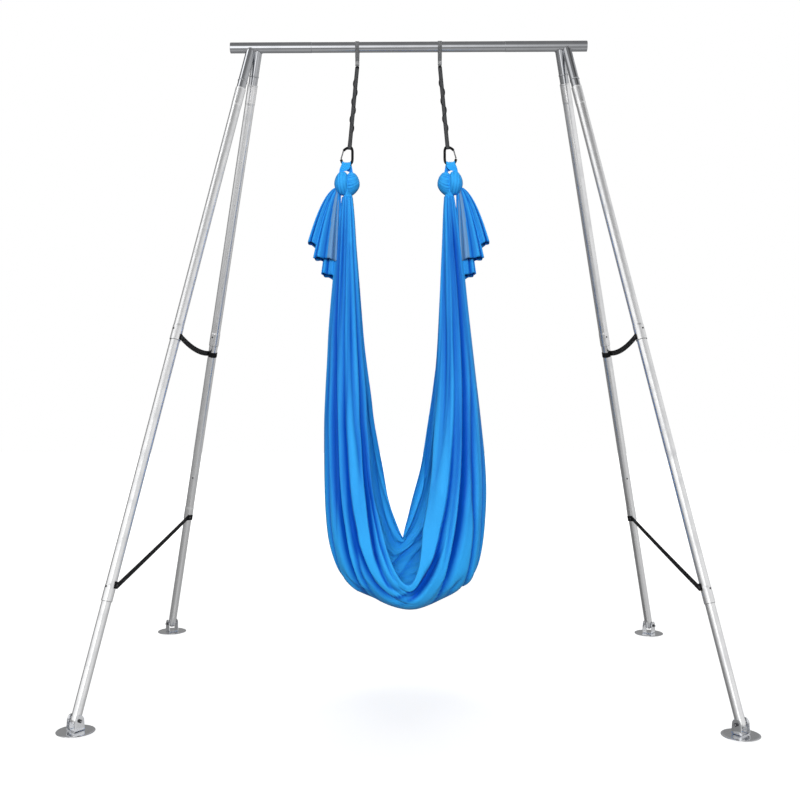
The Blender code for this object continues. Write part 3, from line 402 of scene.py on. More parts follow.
def eased(points, radius, closed=False, steps=3, hold=0.0):
    """Rounds the corners of a flat run of points; hold is how near to them the long sides stay straight."""
    result = []
    count = len(points)
    for i in range(count):
        here = Vector(points[i])
        if not closed and i in (0, count - 1):
            result.append(here)
            continue
        back = Vector(points[i - 1]) - here
        ahead = Vector(points[(i + 1) % count]) - here
        cut = min(radius, back.length * 0.45, ahead.length * 0.45)
        if cut < 1e-6 or abs(back.normalized().dot(ahead.normalized())) > 0.9995:
            result.append(here)
            continue
        start = here + back.normalized() * cut
        end = here + ahead.normalized() * cut
        if hold and back.length > 3 * (cut + hold):
            result.append(start + back.normalized() * hold)
        result += [bent(start, here, end, k / steps) for k in range(steps + 1)]
        if hold and ahead.length > 3 * (cut + hold):
            result.append(end + ahead.normalized() * hold)
    return result


def turned(profile, sides, closed=False):
    """Spins a run of (radius, height) points round Z."""
    bm = bmesh.new()
    verts = [bm.verts.new((r, 0.0, z)) for r, z in profile]
    pairs = list(zip(verts, verts[1:]))
    if closed:
        pairs.append((verts[-1], verts[0]))
    edges = [bm.edges.new(pair) for pair in pairs]
    bmesh.ops.spin(bm, geom=verts + edges, cent=(0, 0, 0), axis=(0, 0, 1), angle=2 * math.pi,
                   steps=sides, use_merge=True, use_duplicate=False)
    bmesh.ops.remove_doubles(bm, verts=bm.verts, dist=1e-6)
    bmesh.ops.recalc_face_normals(bm, faces=bm.faces)
    return marked(bm)


def tube(profile, stand, rim_share=1.0):
    """A tube from its closed section, with rounded rims."""
    return turned(eased(profile, stand.rim_radius * rim_share, True, hold=RIM_HOLD), stand.tube_sides, True)


def swept_between(sections, places):
    """Draws flat closed sections, one at each placement, into a closed form."""
    bm = bmesh.new()
    layer = bm.verts.layers.float_vector.new("grain")
    rings = []
    distance = 0.0
    for i, (section, place) in enumerate(zip(sections, places)):
        if i:
            distance += (place.translation - places[i - 1].translation).length
        ring = [bm.verts.new(place @ Vector((x, y, 0.0))) for x, y in section]
        for vert, (x, y) in zip(ring, section):
            vert[layer] = (x, y, distance)
        rings.append([bm.edges.new((ring[k], ring[(k + 1) % len(ring)])) for k in range(len(ring))])
    for low, high in zip(rings, rings[1:]):
        bmesh.ops.bridge_loops(bm, edges=low + high)
    bmesh.ops.edgenet_fill(bm, edges=rings[0])
    bmesh.ops.edgenet_fill(bm, edges=rings[-1])
    bmesh.ops.recalc_face_normals(bm, faces=bm.faces)
    return bm


def swept(section, places):
    """Draws one section through a row of placements."""
    return swept_between([section] * len(places), places)


def oval(across, height, wide, tall, degrees):
    """Points of an oval at angles in degrees down from its top."""
    turns = [math.radians(a) for a in degrees]
    return [(across + wide * math.sin(a), height + tall * math.cos(a)) for a in turns]


def circle(radius, sides):
    return [(radius * math.cos(2 * math.pi * i / sides), radius * math.sin(2 * math.pi * i / sides))
            for i in range(sides)]


def flat_band(width, thickness):
    """The section of a piece of webbing: flat, with soft woven edges."""
    half, thick = width / 2, thickness / 2
    corners = [(-half, -thick), (half, -thick), (half, thick), (-half, thick)]
    rim = eased(corners, thick * 0.95, closed=True, steps=2)
    across = 6
    filled = []
    for i, here in enumerate(rim):
        filled.append(here)
        after = rim[(i + 1) % len(rim)]
        if (after - here).length > width / 2:
            filled += [here.lerp(after, k / across) for k in range(1, across)]
    return filled


def route_places(points, across):
    """Placements along a line, with X across it and Y out of its face."""
    places = []
    last = len(points) - 1
    for i, point in enumerate(points):
        ahead = (points[min(i + 1, last)] - points[max(i - 1, 0)]).normalized()
        wide = Vector(across[i] if isinstance(across, list) else across)
        wide = (wide - wide.dot(ahead) * ahead).normalized()
        places.append(axes(point, wide, ahead.cross(wide), ahead))
    return places


def around_span(points, i):
    """The four points about the span of a run that starts at one of them."""
    return [Vector(points[min(max(k, 0), len(points) - 1)]) for k in range(i - 1, i + 3)]


def span_point(a, b, c, d, t):
    """A point between b and c on the smooth curve through all four."""
    return 0.5 * ((2 * b) + (c - a) * t + (2 * a - 5 * b + 4 * c - d) * t * t
                  + (3 * b - a - 3 * c + d) * t * t * t)


def smooth_run(points, per_span):
    """Points of a smooth curve through a route."""
    route = []
    for i in range(len(points) - 1):
        four = around_span(points, i)
        route += [span_point(*four, k / per_span) for k in range(per_span)]
    return route + [Vector(points[-1])]


def arc_points(radius, first, last, steps):
    angles = [math.radians(first + (last - first) * i / steps) for i in range(steps + 1)]
    return [(radius * math.cos(a), radius * math.sin(a)) for a in angles]


THREAD_RADIUS = 0.00042
STITCH_ENDS = (0.14, 0.86)


def stitches(piece, look, line, across_direction, out, pitch, radius=THREAD_RADIUS):
    """A row of thread stitches along a line on a surface."""
    for start, end in zip(line, line[1:]):
        span = end - start
        count = max(int(span.length / pitch), 1)
        for i in range(count):
            a, b = (start + span * ((i + share) / count) for share in STITCH_ENDS)
            places = route_places([a, (a + b) / 2 + out * radius, b], across_direction)
            piece.add(swept(circle(radius, 6), places), look)


# ---- Materials ----

SMUDGE_TINT = (0.75, 0.76, 0.78)


def feed(tree, socket, value):
    """Gives a socket a number, a colour or another node's output."""
    if isinstance(value, bpy.types.NodeSocket):
        tree.links.new(value, socket)
    else:
        socket.default_value = value


def add_node(tree, kind, links=None, **settings):
    made = tree.nodes.new(kind)
    for key, value in settings.items():
        setattr(made, key, value)
    for key, value in (links or {}).items():
        feed(tree, made.inputs[key], value)
    return made


def maths(tree, operation, *values):
    """One Math node; each value is a number or a socket."""
    return add_node(tree, "ShaderNodeMath", dict(enumerate(values)), operation=operation).outputs[0]


def sums(tree, *operations):
    """Functions that each put one kind of Math node into a tree."""
    return [partial(maths, tree, operation) for operation in operations]


def blend_colour(tree, share, first, second):
    return add_node(tree, "ShaderNodeMix", {0: share, 6: first, 7: second}, data_type="RGBA").outputs[2]


def remap(tree, value, low, high, start=0.0):
    """From start to 1 as a value goes from low to high."""
    return add_node(tree, "ShaderNodeMapRange", {
        "Value": value, "From Min": low, "From Max": high, "To Min": start, "To Max": 1.0}).outputs[0]


def cloudy(tree, place, scale, detail, roughness=0.5):
    return add_node(tree, "ShaderNodeTexNoise", {
        "Vector": place, "Scale": scale, "Detail": detail, "Roughness": roughness}).outputs[0]


def split(tree, vector):
    return add_node(tree, "ShaderNodeSeparateXYZ", {"Vector": vector}).outputs


class Look:
    """A material being put together from nodes."""

    def __init__(self, name):
        self.material = bpy.data.materials.new(name)
        self.material.use_nodes = True
        self.tree = self.material.node_tree
        self.shader = self.tree.nodes["Principled BSDF"]

    def node(self, kind, links=None, **settings):
        return add_node(self.tree, kind, links, **settings)

    def join(self, output, socket):
        self.tree.links.new(output, self.shader.inputs[socket])

    def set(self, **values):
        for key, value in values.items():
            self.shader.inputs[key.replace("_", " ")].default_value = value

    def grain(self):
        return self.node("ShaderNodeAttribute", attribute_name="grain").outputs["Vector"]

    def effect(self, name, **values):
        """One of the shared effects, on the piece's own grain."""
        values["Place"] = self.grain()
        return self.node("ShaderNodeGroup", values, node_tree=bpy.data.node_groups[name]).outputs

    def paint(self, share, first, second):
        """Base colour between two colours."""
        self.join(blend_colour(self.tree, share, (*first, 1.0), (*second, 1.0)), "Base Color")

    def bump(self, height, strength, distance):
        bump = self.node("ShaderNodeBump", {"Height": height, "Strength": strength, "Distance": distance})
        self.join(bump.outputs["Normal"], "Normal")


def shader_group(name, width, size, outputs):
    """A node group: its tree, its given place and width, and a function that feeds its outputs."""
    group = bpy.data.node_groups.new(name, "ShaderNodeTree")
    group.interface.new_socket(name="Place", in_out="INPUT", socket_type="NodeSocketVector")
    group.interface.new_socket(name=width, in_out="INPUT", socket_type="NodeSocketFloat").default_value = size
    for label in outputs:
        group.interface.new_socket(name=label, in_out="OUTPUT", socket_type="NodeSocketFloat")
    given = group.nodes.new("NodeGroupInput").outputs
    put = group.nodes.new("NodeGroupOutput").inputs

    def give(**values):
        for label, value in values.items():
            feed(group, put[label], value)
    return group, given["Place"], given[width], give


def build_groups():
    """The shared effects: drawn metal, woven webbing and fine knit."""
    group, place, across, give = shader_group(
        "drawn_metal", "Across", 900.0, ("Streaks", "Smudges", "Waviness"))
    times, = sums(group, "MULTIPLY")
    parts = split(group, place)
    stretched = add_node(group, "ShaderNodeCombineXYZ", {
        "X": times(parts[0], across), "Y": times(parts[1], across), "Z": times(parts[2], 6.0)}).outputs[0]
    give(Streaks=cloudy(group, stretched, 1.0, 3.0, 0.6),
         Smudges=remap(group, cloudy(group, place, 14.0, 5.0, 0.62), 0.42, 0.72),
         Waviness=cloudy(group, place, 22.0, 1.0))

    group, place, rib, give = shader_group("woven_webbing", "Rib", 0.0021, ("Height", "Shade", "Fuzz"))
    add, less, times, over, power, absolute, sine, fraction = sums(
        group, "ADD", "SUBTRACT", "MULTIPLY", "DIVIDE", "POWER", "ABSOLUTE", "SINE", "FRACT")
    parts = split(group, place)
    across = over(parts[0], rib)
    folded = absolute(less(fraction(across), 0.5))
    chevron = add(over(parts[2], times(rib, 0.62)), times(folded, 1.6))
    thread = absolute(sine(times(chevron, math.pi)))
    height = times(power(thread, 0.6), power(absolute(sine(times(across, math.pi))), 0.35))
    worn = add(times(cloudy(group, place, 40.0, 4.0), 0.7), 0.65)
    # Shade: painted shade in the grooves between the ribs, times random worn patches.
    give(Height=height, Shade=times(add(times(height, 0.75), 0.25), worn),
         Fuzz=cloudy(group, place, 1800.0, 2.0))

    group, place, wale, give = shader_group("fine_knit", "Wale", 0.0011, ("Height", "Tone"))
    add, times, over, power, absolute, sine = sums(
        group, "ADD", "MULTIPLY", "DIVIDE", "POWER", "ABSOLUTE", "SINE")
    parts = split(group, place)
    column = absolute(sine(times(over(parts[0], wale), math.pi)))
    course = over(parts[2], times(wale, 1.3))
    loop = absolute(sine(times(add(course, times(column, 0.5)), math.pi)))
    give(Height=times(power(column, 0.7), add(times(loop, 0.5), 0.5)),
         Tone=remap(group, cloudy(group, place, 9.0, 5.0, 0.55), 0.3, 0.7))


def metal(name, colour, roughness, streak=0.35, metallic=1.0, wave=0.0):
    """Plated or bare metal with drawing lines, smudges and a trace of waviness."""
    look = Look(name)
    add, times = sums(look.tree, "ADD", "MULTIPLY")
    seen = look.effect("drawn_metal")
    look.paint(times(seen["Smudges"], 0.35), colour, [c * d for c, d in zip(colour, SMUDGE_TINT)])
    look.join(add(roughness, add(times(seen["Smudges"], roughness * 0.9),
                                 times(seen["Streaks"], roughness * streak))), "Roughness")
    look.set(Metallic=metallic)
    look.bump(add(times(seen["Streaks"], streak * 0.02), times(seen["Waviness"], wave)), 0.5, 0.002)
    return look


def webbing_look(name, colour, rib, lift):
    """Woven webbing, with painted shade in the grooves between its ribs and random worn patches; lift is how
    much paler the ribs are.
    """
    look = Look(name)
    add, times = sums(look.tree, "ADD", "MULTIPLY")
    seen = look.effect("woven_webbing", Rib=rib)
    look.paint(seen["Shade"], [c * 0.35 for c in colour], [min(c * 2.4 + 0.012 * lift, 1.0) for c in colour])
    look.join(add(0.62, times(seen["Fuzz"], 0.25)), "Roughness")
    look.set(Sheen_Weight=0.02, Sheen_Roughness=0.4, Specular_IOR_Level=0.12)
    look.bump(add(seen["Height"], times(seen["Fuzz"], 0.25)), 0.8, 0.0006)


def thread_look(name, colour):
    look = Look(name)
    twist = look.node("ShaderNodeTexWave", {"Vector": look.grain(), "Scale": 900.0, "Distortion": 1.5},
                      bands_direction="DIAGONAL").outputs[1]
    # Painted shade in the grooves of the thread's twist.
    look.paint(twist, [c * 0.4 for c in colour], colour)
    look.set(Roughness=0.55, Sheen_Weight=0.3)
    look.bump(twist, 0.6, 0.0002)


def cloth_look(name, colour, fold_shade_colour, wale):
    """Fine knit, with painted shade deep in its folds and in the grooves of the knit."""
    look = Look(name)
    add, less, times = sums(look.tree, "ADD", "SUBTRACT", "MULTIPLY")
    seen = look.effect("fine_knit", Wale=wale)
    # Painted shade: this attribute darkens the cloth toward the fold shade colour where folds and creases run
    # deep.
    painted_shade = look.node("ShaderNodeAttribute", attribute_name="painted_shade").outputs["Fac"]
    fold_shaded = blend_colour(look.tree, painted_shade, (*colour, 1.0), (*fold_shade_colour, 1.0))
    # Painted shade in the grooves between the knit's loops, with a little random tone.
    groove_shade_and_tone = add(times(less(1.0, seen["Height"]), 0.16), times(seen["Tone"], 0.05))
    shaded = blend_colour(look.tree, groove_shade_and_tone, fold_shaded, (*[c * 0.8 for c in fold_shade_colour], 1.0))
    look.join(shaded, "Base Color")
    look.join(add(0.44, times(seen["Tone"], 0.10)), "Roughness")
    look.set(Sheen_Weight=0.03, Sheen_Roughness=0.4, Specular_IOR_Level=0.14)
    look.bump(seen["Height"], 0.35, 0.0003)


def build_looks(context):
    stand = context.scene.yoga_stand
    webbing = context.scene.yoga_webbing
    cloth = context.scene.yoga_cloth
    build_groups()
    metal("leg_chrome", stand.chrome, 0.24, streak=0.25)
    metal("bar_chrome_plate", stand.bar_chrome, 0.075, wave=0.02)
    metal("foot_chrome_plate", stand.foot_chrome, 0.10, wave=0.05)
    metal("weld_steel", (0.42, 0.42, 0.43), 0.34, streak=0.8)
    metal("bolt_plate", (0.46, 0.46, 0.47), 0.24)
    metal("nut_dark", (0.10, 0.10, 0.105), 0.30)
    # Painted shadow for the mouths of the sockets.
    metal("rim_shadow", (0.16, 0.16, 0.165), 0.35)
    metal("button_dark", (0.035, 0.035, 0.038), 0.30)
    metal("anodised_black", (0.004, 0.004, 0.0045), 0.40, metallic=0.0).set(Specular_IOR_Level=0.16)
    metal("gate_satin", (0.24, 0.245, 0.255), 0.30)
    webbing_look("strap_weave", webbing.strap_colour, webbing.rib, 0.1)
    webbing_look("sling_weave", webbing.sling_colour, webbing.rib, 2.0)
    webbing_look("chain_weave", webbing.chain_colour, webbing.rib, 1.4)
    webbing_look("chain_loop_weave", (0.006, 0.006, 0.0065), webbing.rib, 0.1)
    thread_look("thread_black", (0.03, 0.03, 0.032))
    thread_look("thread_grey", (0.72, 0.725, 0.73))
    cloth_look("azure_knit", cloth.colour, cloth.fold_shade_colour, cloth.knit)
    # Painted light through a single layer of cloth; its painted shade in the folds is half that colour.
    cloth_look("azure_knit_backlit", cloth.backlit_colour, [c * 0.5 for c in cloth.backlit_colour], cloth.knit)


# ---- Stand ----

SPIGOT_STEP = 0.002
# A stub's rolled stop bead: half height, rise, and where the tube starts to swell
BEAD_HALF, BEAD_RISE, BEAD_START = 0.0034, 0.0017, 0.0046
# Its tack welds, by angle round the stub: radius, and how far out and down from the bead's middle
TACK_TURNS = (-150, -60, 30, 120)
TACK_RADIUS, TACK_OUT, TACK_DOWN = 0.0022, 0.0008, 0.0036
# The weld on the bar: facets round it, its foot on the stub and on the bar, and how deep the stub's cut sits
WELD_STEPS = 168
WELD_ON_STUB, WELD_ON_BAR, WELD_SINK = 0.0006, 0.0004, 0.0009
# The rolled lip of an upper tube's mouth: rise, height, and where it has run out
LIP_RISE, LIP_HEIGHT, LIP_END = 0.0005, 0.004, 0.006
# Snap buttons: height of the dome, and how far below the tube's face they reach
BUTTON_DOME, BUTTON_ROOT = 0.0021, 0.0058
BRACKET_BEND = 0.0062
BRACKET_BEVEL = 0.0005
# A foot bolt's head, how far its end stands past the bracket, and its nut
BOLT_HEAD_RADIUS, BOLT_HEAD_RIM, BOLT_HEAD_DOME, BOLT_PAST_FACE = 0.0078, 0.0008, 0.0044, 0.011
NUT_RADIUS, NUT_HEIGHT, NUT_CHAMFER = 0.0075, 0.0062, 0.0007
# Angles down from the top of a rounded head
DOME = range(12, 91, 13)


class YOGAFRAME_OT_bar(bpy.types.Operator):
    """Top bar between its two welded ends"""
    bl_idname = "yogaframe.bar"
    bl_label = "Top bar"

    def execute(self, context):
        half = BAR_LENGTH / 2 - HEAD_LENGTH - GAP
        outer = BAR_OUTER / 2
        spigot = HEAD_OUTER / 2 - HEAD_WALL - GAP
        inner = spigot - BAR_WALL
        tip, step = half + SPIGOT_LENGTH, half + SPIGOT_STEP
        profile = [(spigot, tip), (spigot, step), (outer, half), (outer, -half), (spigot, -step),
                   (spigot, -tip), (inner, -tip), (inner, tip)]
        single("bar_centre_tube", tube(profile, context.scene.yoga_stand), "bar_chrome_plate", bar_place(1),
               "frame", "bar_middle", "bar_chrome")
        return {"FINISHED"}


def meet_bar(leg, point, radius):
    """How far down the leg's direction a point lands on the bar's underside."""
    y, z = point.y, point.z - BAR_Z
    a = leg.up.y ** 2 + leg.up.z ** 2
    b = 2 * (y * leg.up.y + z * leg.up.z)
    c = y * y + z * z - radius * radius
    return (-b - math.sqrt(b * b - 4 * a * c)) / (2 * a)


def stub_tube(leg, stand, place):
    """A leg stub whose top is cut to the bar's round, with its rolled stop bead."""
    radius = STUB_OUTER / 2
    inner = radius - STUB_WALL
    length = leg.stub_run + STUB_INSERT
    bead = leg.bead_run
    profile = [(radius, 0.0), (radius, -bead + BEAD_START), (radius, -bead + BEAD_HALF)]
    profile += oval(radius, -bead, BEAD_RISE, BEAD_HALF, range(20, 180, 20))
    profile += [(radius, -bead - BEAD_HALF), (radius, -bead - BEAD_START), (radius, -length),
                (inner, -length), (inner, 0.0)]
    bm = turned(profile, stand.tube_sides, True)
    for vert in bm.verts:
        if abs(vert.co.z) < 1e-7:
            vert.co.z = meet_bar(leg, place @ vert.co, HEAD_OUTER / 2 - WELD_SINK)
    return bm


def weld_ring(leg, stand, place):
    """A rippled bead where the stub meets the bar."""
    seam = STUB_OUTER / 2
    ring = turned([(seam + x, z) for x, z in circle(stand.weld_radius, 10)], WELD_STEPS, True)
    for vert in ring.verts:
        turn = math.atan2(vert.co.y, vert.co.x)
        rim = Vector((math.cos(turn), math.sin(turn), 0.0))
        away = vert.co - rim * seam
        rough = noise.noise(Vector((turn * 3.1, leg.side, leg.end)))
        scale = 1.0 + 0.22 * math.sin(turn * 34.0) + 0.16 * rough
        meet = meet_bar(leg, place @ (rim * (seam + WELD_ON_STUB)), HEAD_OUTER / 2 + WELD_ON_BAR)
        vert.co = rim * seam + away * scale + Vector((0.0, 0.0, meet))
    return ring


class YOGAFRAME_OT_heads(bpy.types.Operator):
    """Bar ends, each with two welded leg stubs"""
    bl_idname = "yogaframe.heads"
    bl_label = "Bar ends"

    def execute(self, context):
        stand = context.scene.yoga_stand
        radius = HEAD_OUTER / 2
        bore = radius - HEAD_WALL
        outer_end = BAR_LENGTH / 2
        inner_end = outer_end - HEAD_LENGTH
        profile = [(radius, outer_end), (radius, inner_end), (bore, inner_end), (bore, outer_end)]
        for side_name, side in SIDES:
            piece = Piece("bar_end_" + side_name)
            piece.add(tube(profile, stand, 0.7), "bar_chrome_plate", bar_place(side))
            for leg in LEGS:
                if leg.side == side:
                    self.stub(piece, leg, stand)
            piece.done("frame", "head_" + side_name, slot="bar_chrome")
        return {"FINISHED"}

    def stub(self, piece, leg, stand):
        """A stub, its weld on the bar and the tack welds at its bead."""
        place = leg.place(BAR_Z)
        piece.add(stub_tube(leg, stand, place), "bar_chrome_plate", place)
        piece.add(weld_ring(leg, stand, place), "weld_steel", place)
        bead = leg.at(BAR_Z) - leg.up * leg.bead_run
        for turn in TACK_TURNS:
            dot = bmesh.new()
            bmesh.ops.create_uvsphere(dot, u_segments=12, v_segments=8, radius=TACK_RADIUS)
            spot = bead + leg.toward(turn) * (STUB_OUTER / 2 + TACK_OUT) - leg.up * TACK_DOWN
            piece.add(marked(dot), "weld_steel", Matrix.Translation(spot))


def socket_end(outer, socket):
    """The flare at a tube's lower end, down to its rim."""
    return [(outer, SOCKET_LENGTH + SOCKET_TAPER), (socket, SOCKET_LENGTH), (socket, 0.0015), (socket, 0.0)]


class YOGAFRAME_OT_legs(bpy.types.Operator):
    """The plug-together tubes of the four legs"""
    bl_idname = "yogaframe.legs"
    bl_label = "Legs"

    def execute(self, context):
        stand = context.scene.yoga_stand
        for leg in LEGS:
            rows = (("_top_section", "_upper_tube", tube(self.upper(leg), stand), UPPER_END_HEIGHT, DARK_RIM),
                    ("_centre_section", "_middle_tube", tube(self.middle(leg), stand), leg.lower_joint,
                     DARK_RIM),
                    ("_bottom_section", "_lower_tube", turned(self.lower(leg), stand.tube_sides, True),
                     PIVOT_HEIGHT, 0.0))
            for label, node, part, height, rim in rows:
                single(leg.name + label, part, "leg_chrome", leg.place(height), "frame", leg.name + node,
                       "tube_chrome", TUBE_CREASE, rim)
        return {"FINISHED"}

    def upper(self, leg):
        length = leg.run(UPPER_END_HEIGHT, leg.mouth)
        outer, socket, mouth = UPPER_OUTER / 2, UPPER_SOCKET_OUTER / 2, MOUTH_OUTER / 2
        bore, wide = STUB_OUTER / 2 + GAP, MIDDLE_OUTER / 2 + GAP
        deep = INSERT_LENGTH + SOCKET_TAPER
        return [(mouth + LIP_RISE, length), (mouth + LIP_RISE, length - LIP_HEIGHT),
                (mouth, length - LIP_END), (mouth, length - MOUTH_LENGTH),
                (outer, length - MOUTH_LENGTH - SOCKET_TAPER), *socket_end(outer, socket),
                (wide, 0.0), (wide, deep), (bore, deep + SOCKET_TAPER), (bore, length)]

    def middle(self, leg):
        length = leg.run(leg.lower_joint, UPPER_END_HEIGHT) + INSERT_LENGTH
        outer, socket, bore = MIDDLE_OUTER / 2, MIDDLE_SOCKET_OUTER / 2, LOWER_OUTER / 2 + GAP
        return [(outer, length), *socket_end(outer, socket), (bore, 0.0), (bore, length)]

    def lower(self, leg):
        reach = INSERT_LENGTH + LOWER_BUTTONS_ABOVE_END[leg.end_name] - LOWER_BUTTONS_ABOVE_END["front"]
        length = leg.run(PIVOT_HEIGHT, leg.lower_joint) + reach
        outer = LOWER_OUTER / 2
        inner = outer - LOWER_WALL
        return [(outer, length), (outer, 0.003), *oval(0.0, 0.0, outer, outer, range(90, 180, 9)),
                (0.0, -outer), (0.0, -inner), *oval(0.0, 0.0, inner, inner, range(171, 89, -9)),
                (inner, length)]


class YOGAFRAME_OT_buttons(bpy.types.Operator):
    """The sprung snap buttons at the leg joints"""
    bl_idname = "yogaframe.buttons"
    bl_label = "Snap buttons"

    def execute(self, context):
        for leg in LEGS:
            wall = MIDDLE_SOCKET_OUTER / 2 if leg.end < 0 else MIDDLE_OUTER / 2
            rows = (("upper", UPPER_END_HEIGHT, UPPER_BUTTON_ABOVE_END, UPPER_BUTTON_TURNS,
                     UPPER_SOCKET_OUTER / 2),
                    ("lower", leg.lower_joint, LOWER_BUTTONS_ABOVE_END[leg.end_name], LOWER_BUTTON_TURNS,
                     wall))
            for level, base, above, turns, outside in rows:
                self.button(leg, level, base + above * leg.up.z, turns[leg.end_name], outside)
        return {"FINISHED"}

    def button(self, leg, level, height, turn, outside):
        tip = outside + BUTTON_PROUD
        base = outside - BUTTON_ROOT
        profile = [(0.0, tip), *oval(0.0, tip - BUTTON_DOME, BUTTON_RADIUS, BUTTON_DOME, DOME),
                   (BUTTON_RADIUS, tip - BUTTON_DOME), (BUTTON_RADIUS, base), (0.0, base)]
        name = leg.name + "_" + level + "_button"
        single(leg.name + "_" + level + "_snap", turned(profile, 24), "button_dark",
               along(leg.at(height), leg.outward(turn)), name, name, "button_steel")


def bevelled(bm, edges, offset, clamp_overlap=False):
    bmesh.ops.bevel(bm, geom=edges, offset=offset, offset_type="OFFSET", segments=2, profile=0.5,
                    affect="EDGES", material=-1, clamp_overlap=clamp_overlap)
    return marked(bm)


def hex_nut():
    """A six-sided nut with chamfered edges."""
    bm = bmesh.new()
    bmesh.ops.create_cone(
        bm, cap_ends=True, segments=6, radius1=NUT_RADIUS, radius2=NUT_RADIUS, depth=NUT_HEIGHT)
    bmesh.ops.translate(bm, verts=bm.verts, vec=(0, 0, NUT_HEIGHT / 2))
    return bevelled(bm, [e for e in bm.edges if abs(e.verts[0].co.z - e.verts[1].co.z) < 1e-6], NUT_CHAMFER)


class YOGAFRAME_OT_feet(bpy.types.Operator):
    """Round plates, folded brackets and their cross bolts"""
    bl_idname = "yogaframe.feet"
    bl_label = "Feet"

    def execute(self, context):
        for leg in LEGS:
            pivot = leg.at(PIVOT_HEIGHT)
            ground = Vector((pivot.x, pivot.y, 0.0))
            self.plate(leg, ground)
            self.bracket(leg, ground)
            self.bolt(leg)
        return {"FINISHED"}

    def plate(self, leg, ground):
        top, rim = PLATE_THICKNESS, PLATE_RADIUS
        profile = [(0.0, top), (rim - 0.010, top), (rim - 0.0065, top - 0.0004), (rim, top - 0.0016),
                   (rim, 0.0), (0.0, 0.0)]
        disc = turned(eased(profile, 0.0012, hold=0.001), 96)
        single(leg.name + "_base_disc", disc, "foot_chrome_plate", Matrix.Translation(ground),
               leg.name + "_foot", leg.name + "_foot_plate", "foot_chrome", WIDE_CREASE)

    def bracket(self, leg, ground):
        """One folded sheet: up one ear, over two bends and up the other."""
        base = PLATE_THICKNESS + GAP
        half = BRACKET_INNER_WIDTH / 2 + BRACKET_SHEET
        top = PIVOT_HEIGHT + EAR_TOP_RADIUS
        foot = BRACKET_LENGTH / 2
        rise = [top - EAR_TOP_RADIUS * (1 - math.cos(math.radians(a))) for a in range(6, 91, 7)]
        rise += [PIVOT_HEIGHT * 0.85, EAR_SHOULDER_HEIGHT, base + BRACKET_BEND * 1.6]
        path = [(half, z) for z in rise]
        path += oval(half - BRACKET_BEND, base + BRACKET_BEND, BRACKET_BEND, BRACKET_BEND, range(90, 181, 15))
        path += [(half * 0.4, base), (0.0, base), (-half * 0.4, base)] + [(-x, z) for x, z in reversed(path)]
        bm = bmesh.new()
        rows = []
        for x, z in path:
            above = max(z - PIVOT_HEIGHT, 0.0) / EAR_TOP_RADIUS
            ear = EAR_TOP_RADIUS * math.sqrt(max(1.0 - above * above, 0.0))
            share = clamp((z - EAR_SHOULDER_HEIGHT) / (PIVOT_HEIGHT - EAR_SHOULDER_HEIGHT))
            wide = foot + (ear - foot) * (share * share * (3 - 2 * share))
            rows.append([bm.verts.new((x, z, wide * t)) for t in (-1.0, -0.5, 0.0, 0.5, 1.0)])
        faces = [bm.faces.new((a[k], a[k + 1], b[k + 1], b[k]))
                 for a, b in zip(rows, rows[1:]) for k in range(4)]
        bmesh.ops.recalc_face_normals(bm, faces=faces)
        bmesh.ops.solidify(bm, geom=faces, thickness=BRACKET_SHEET)
        bmesh.ops.recalc_face_normals(bm, faces=bm.faces)
        rim = [e for e in bm.edges if e.is_manifold and e.calc_face_angle() > math.radians(WIDE_CREASE)]
        single(leg.name + "_folded_bracket", bevelled(bm, rim, BRACKET_BEVEL, True), "foot_chrome_plate",
               axes(ground, leg.bolt_axis, UP, leg.bolt_axis.cross(UP)),
               leg.name + "_foot", leg.name + "_foot_bracket", "foot_chrome")

    def bolt(self, leg):
        face = BRACKET_INNER_WIDTH / 2 + BRACKET_SHEET + GAP
        tip = -face - BOLT_PAST_FACE
        place = along(leg.at(PIVOT_HEIGHT), -leg.side * leg.bolt_axis)
        shaft = [(0.0, face + BOLT_HEAD_RIM + BOLT_HEAD_DOME),
                 *oval(0.0, face + BOLT_HEAD_RIM, BOLT_HEAD_RADIUS, BOLT_HEAD_DOME, DOME),
                 (BOLT_HEAD_RADIUS, face), (FOOT_BOLT_RADIUS, face), (FOOT_BOLT_RADIUS, tip + 0.0008),
                 (FOOT_BOLT_RADIUS - 0.0008, tip), (0.0, tip)]
        piece = Piece(leg.name + "_cross_bolt")
        piece.add(turned(shaft, 32), "bolt_plate", place)
        piece.add(hex_nut(), "nut_dark", place @ Matrix.Translation((0, 0, -face - NUT_HEIGHT)))
        piece.done(leg.name + "_foot", leg.name + "_foot_bolt", slot="bolt_steel")


# ---- Straps ----

LOWER_STRAP_WIDTH = WEBBING_WIDTH + 0.004
STRAP_STEPS = 28
LOOP_STEPS = 40
SEAM_INSET = 0.0028
# A strap's screw: (radius, height above the webbing's face), from the middle of its head to its shaft
SCREW_HEAD = (
    (0.0, 0.0012), (0.0012, 0.0012), (0.0016, 0.0024), (0.0030, 0.0023), (0.0048, 0.0016), (0.0059, 0.0004),
    (0.0060, -0.0002), (0.003, -0.0002),
)
SCREW_DEPTH = 0.0012


def tab_line(leg, height, radius, angle):
    """Three points of a strap's end laid flat against a tube at an angle round the leg."""
    centre = leg.around(height, radius, angle)
    tangent = leg.toward(angle + 90.0)
    return [centre + tangent * offset for offset in (-STRAP_TAB, 0.0, STRAP_TAB)]


def box_stitch(piece, places, width, face):
    """A sewn box with its cross, on one face of a strap."""
    inner, out = width / 2 - SEAM_INSET, WEBBING_THICKNESS / 2
    a, b = [[place @ Vector((s * inner, face * out, 0.0)) for place in places] for s in (-1, 1)]
    normal = places[0].to_3x3() @ Vector((0.0, face, 0.0))
    pitch = bpy.context.scene.yoga_webbing.stitch
    for line in (a, b, [a[0], b[0]], [a[-1], b[-1]], [a[0], b[-1]], [b[0], a[-1]]):
        stitches(piece, "thread_black", line, normal, normal, pitch)


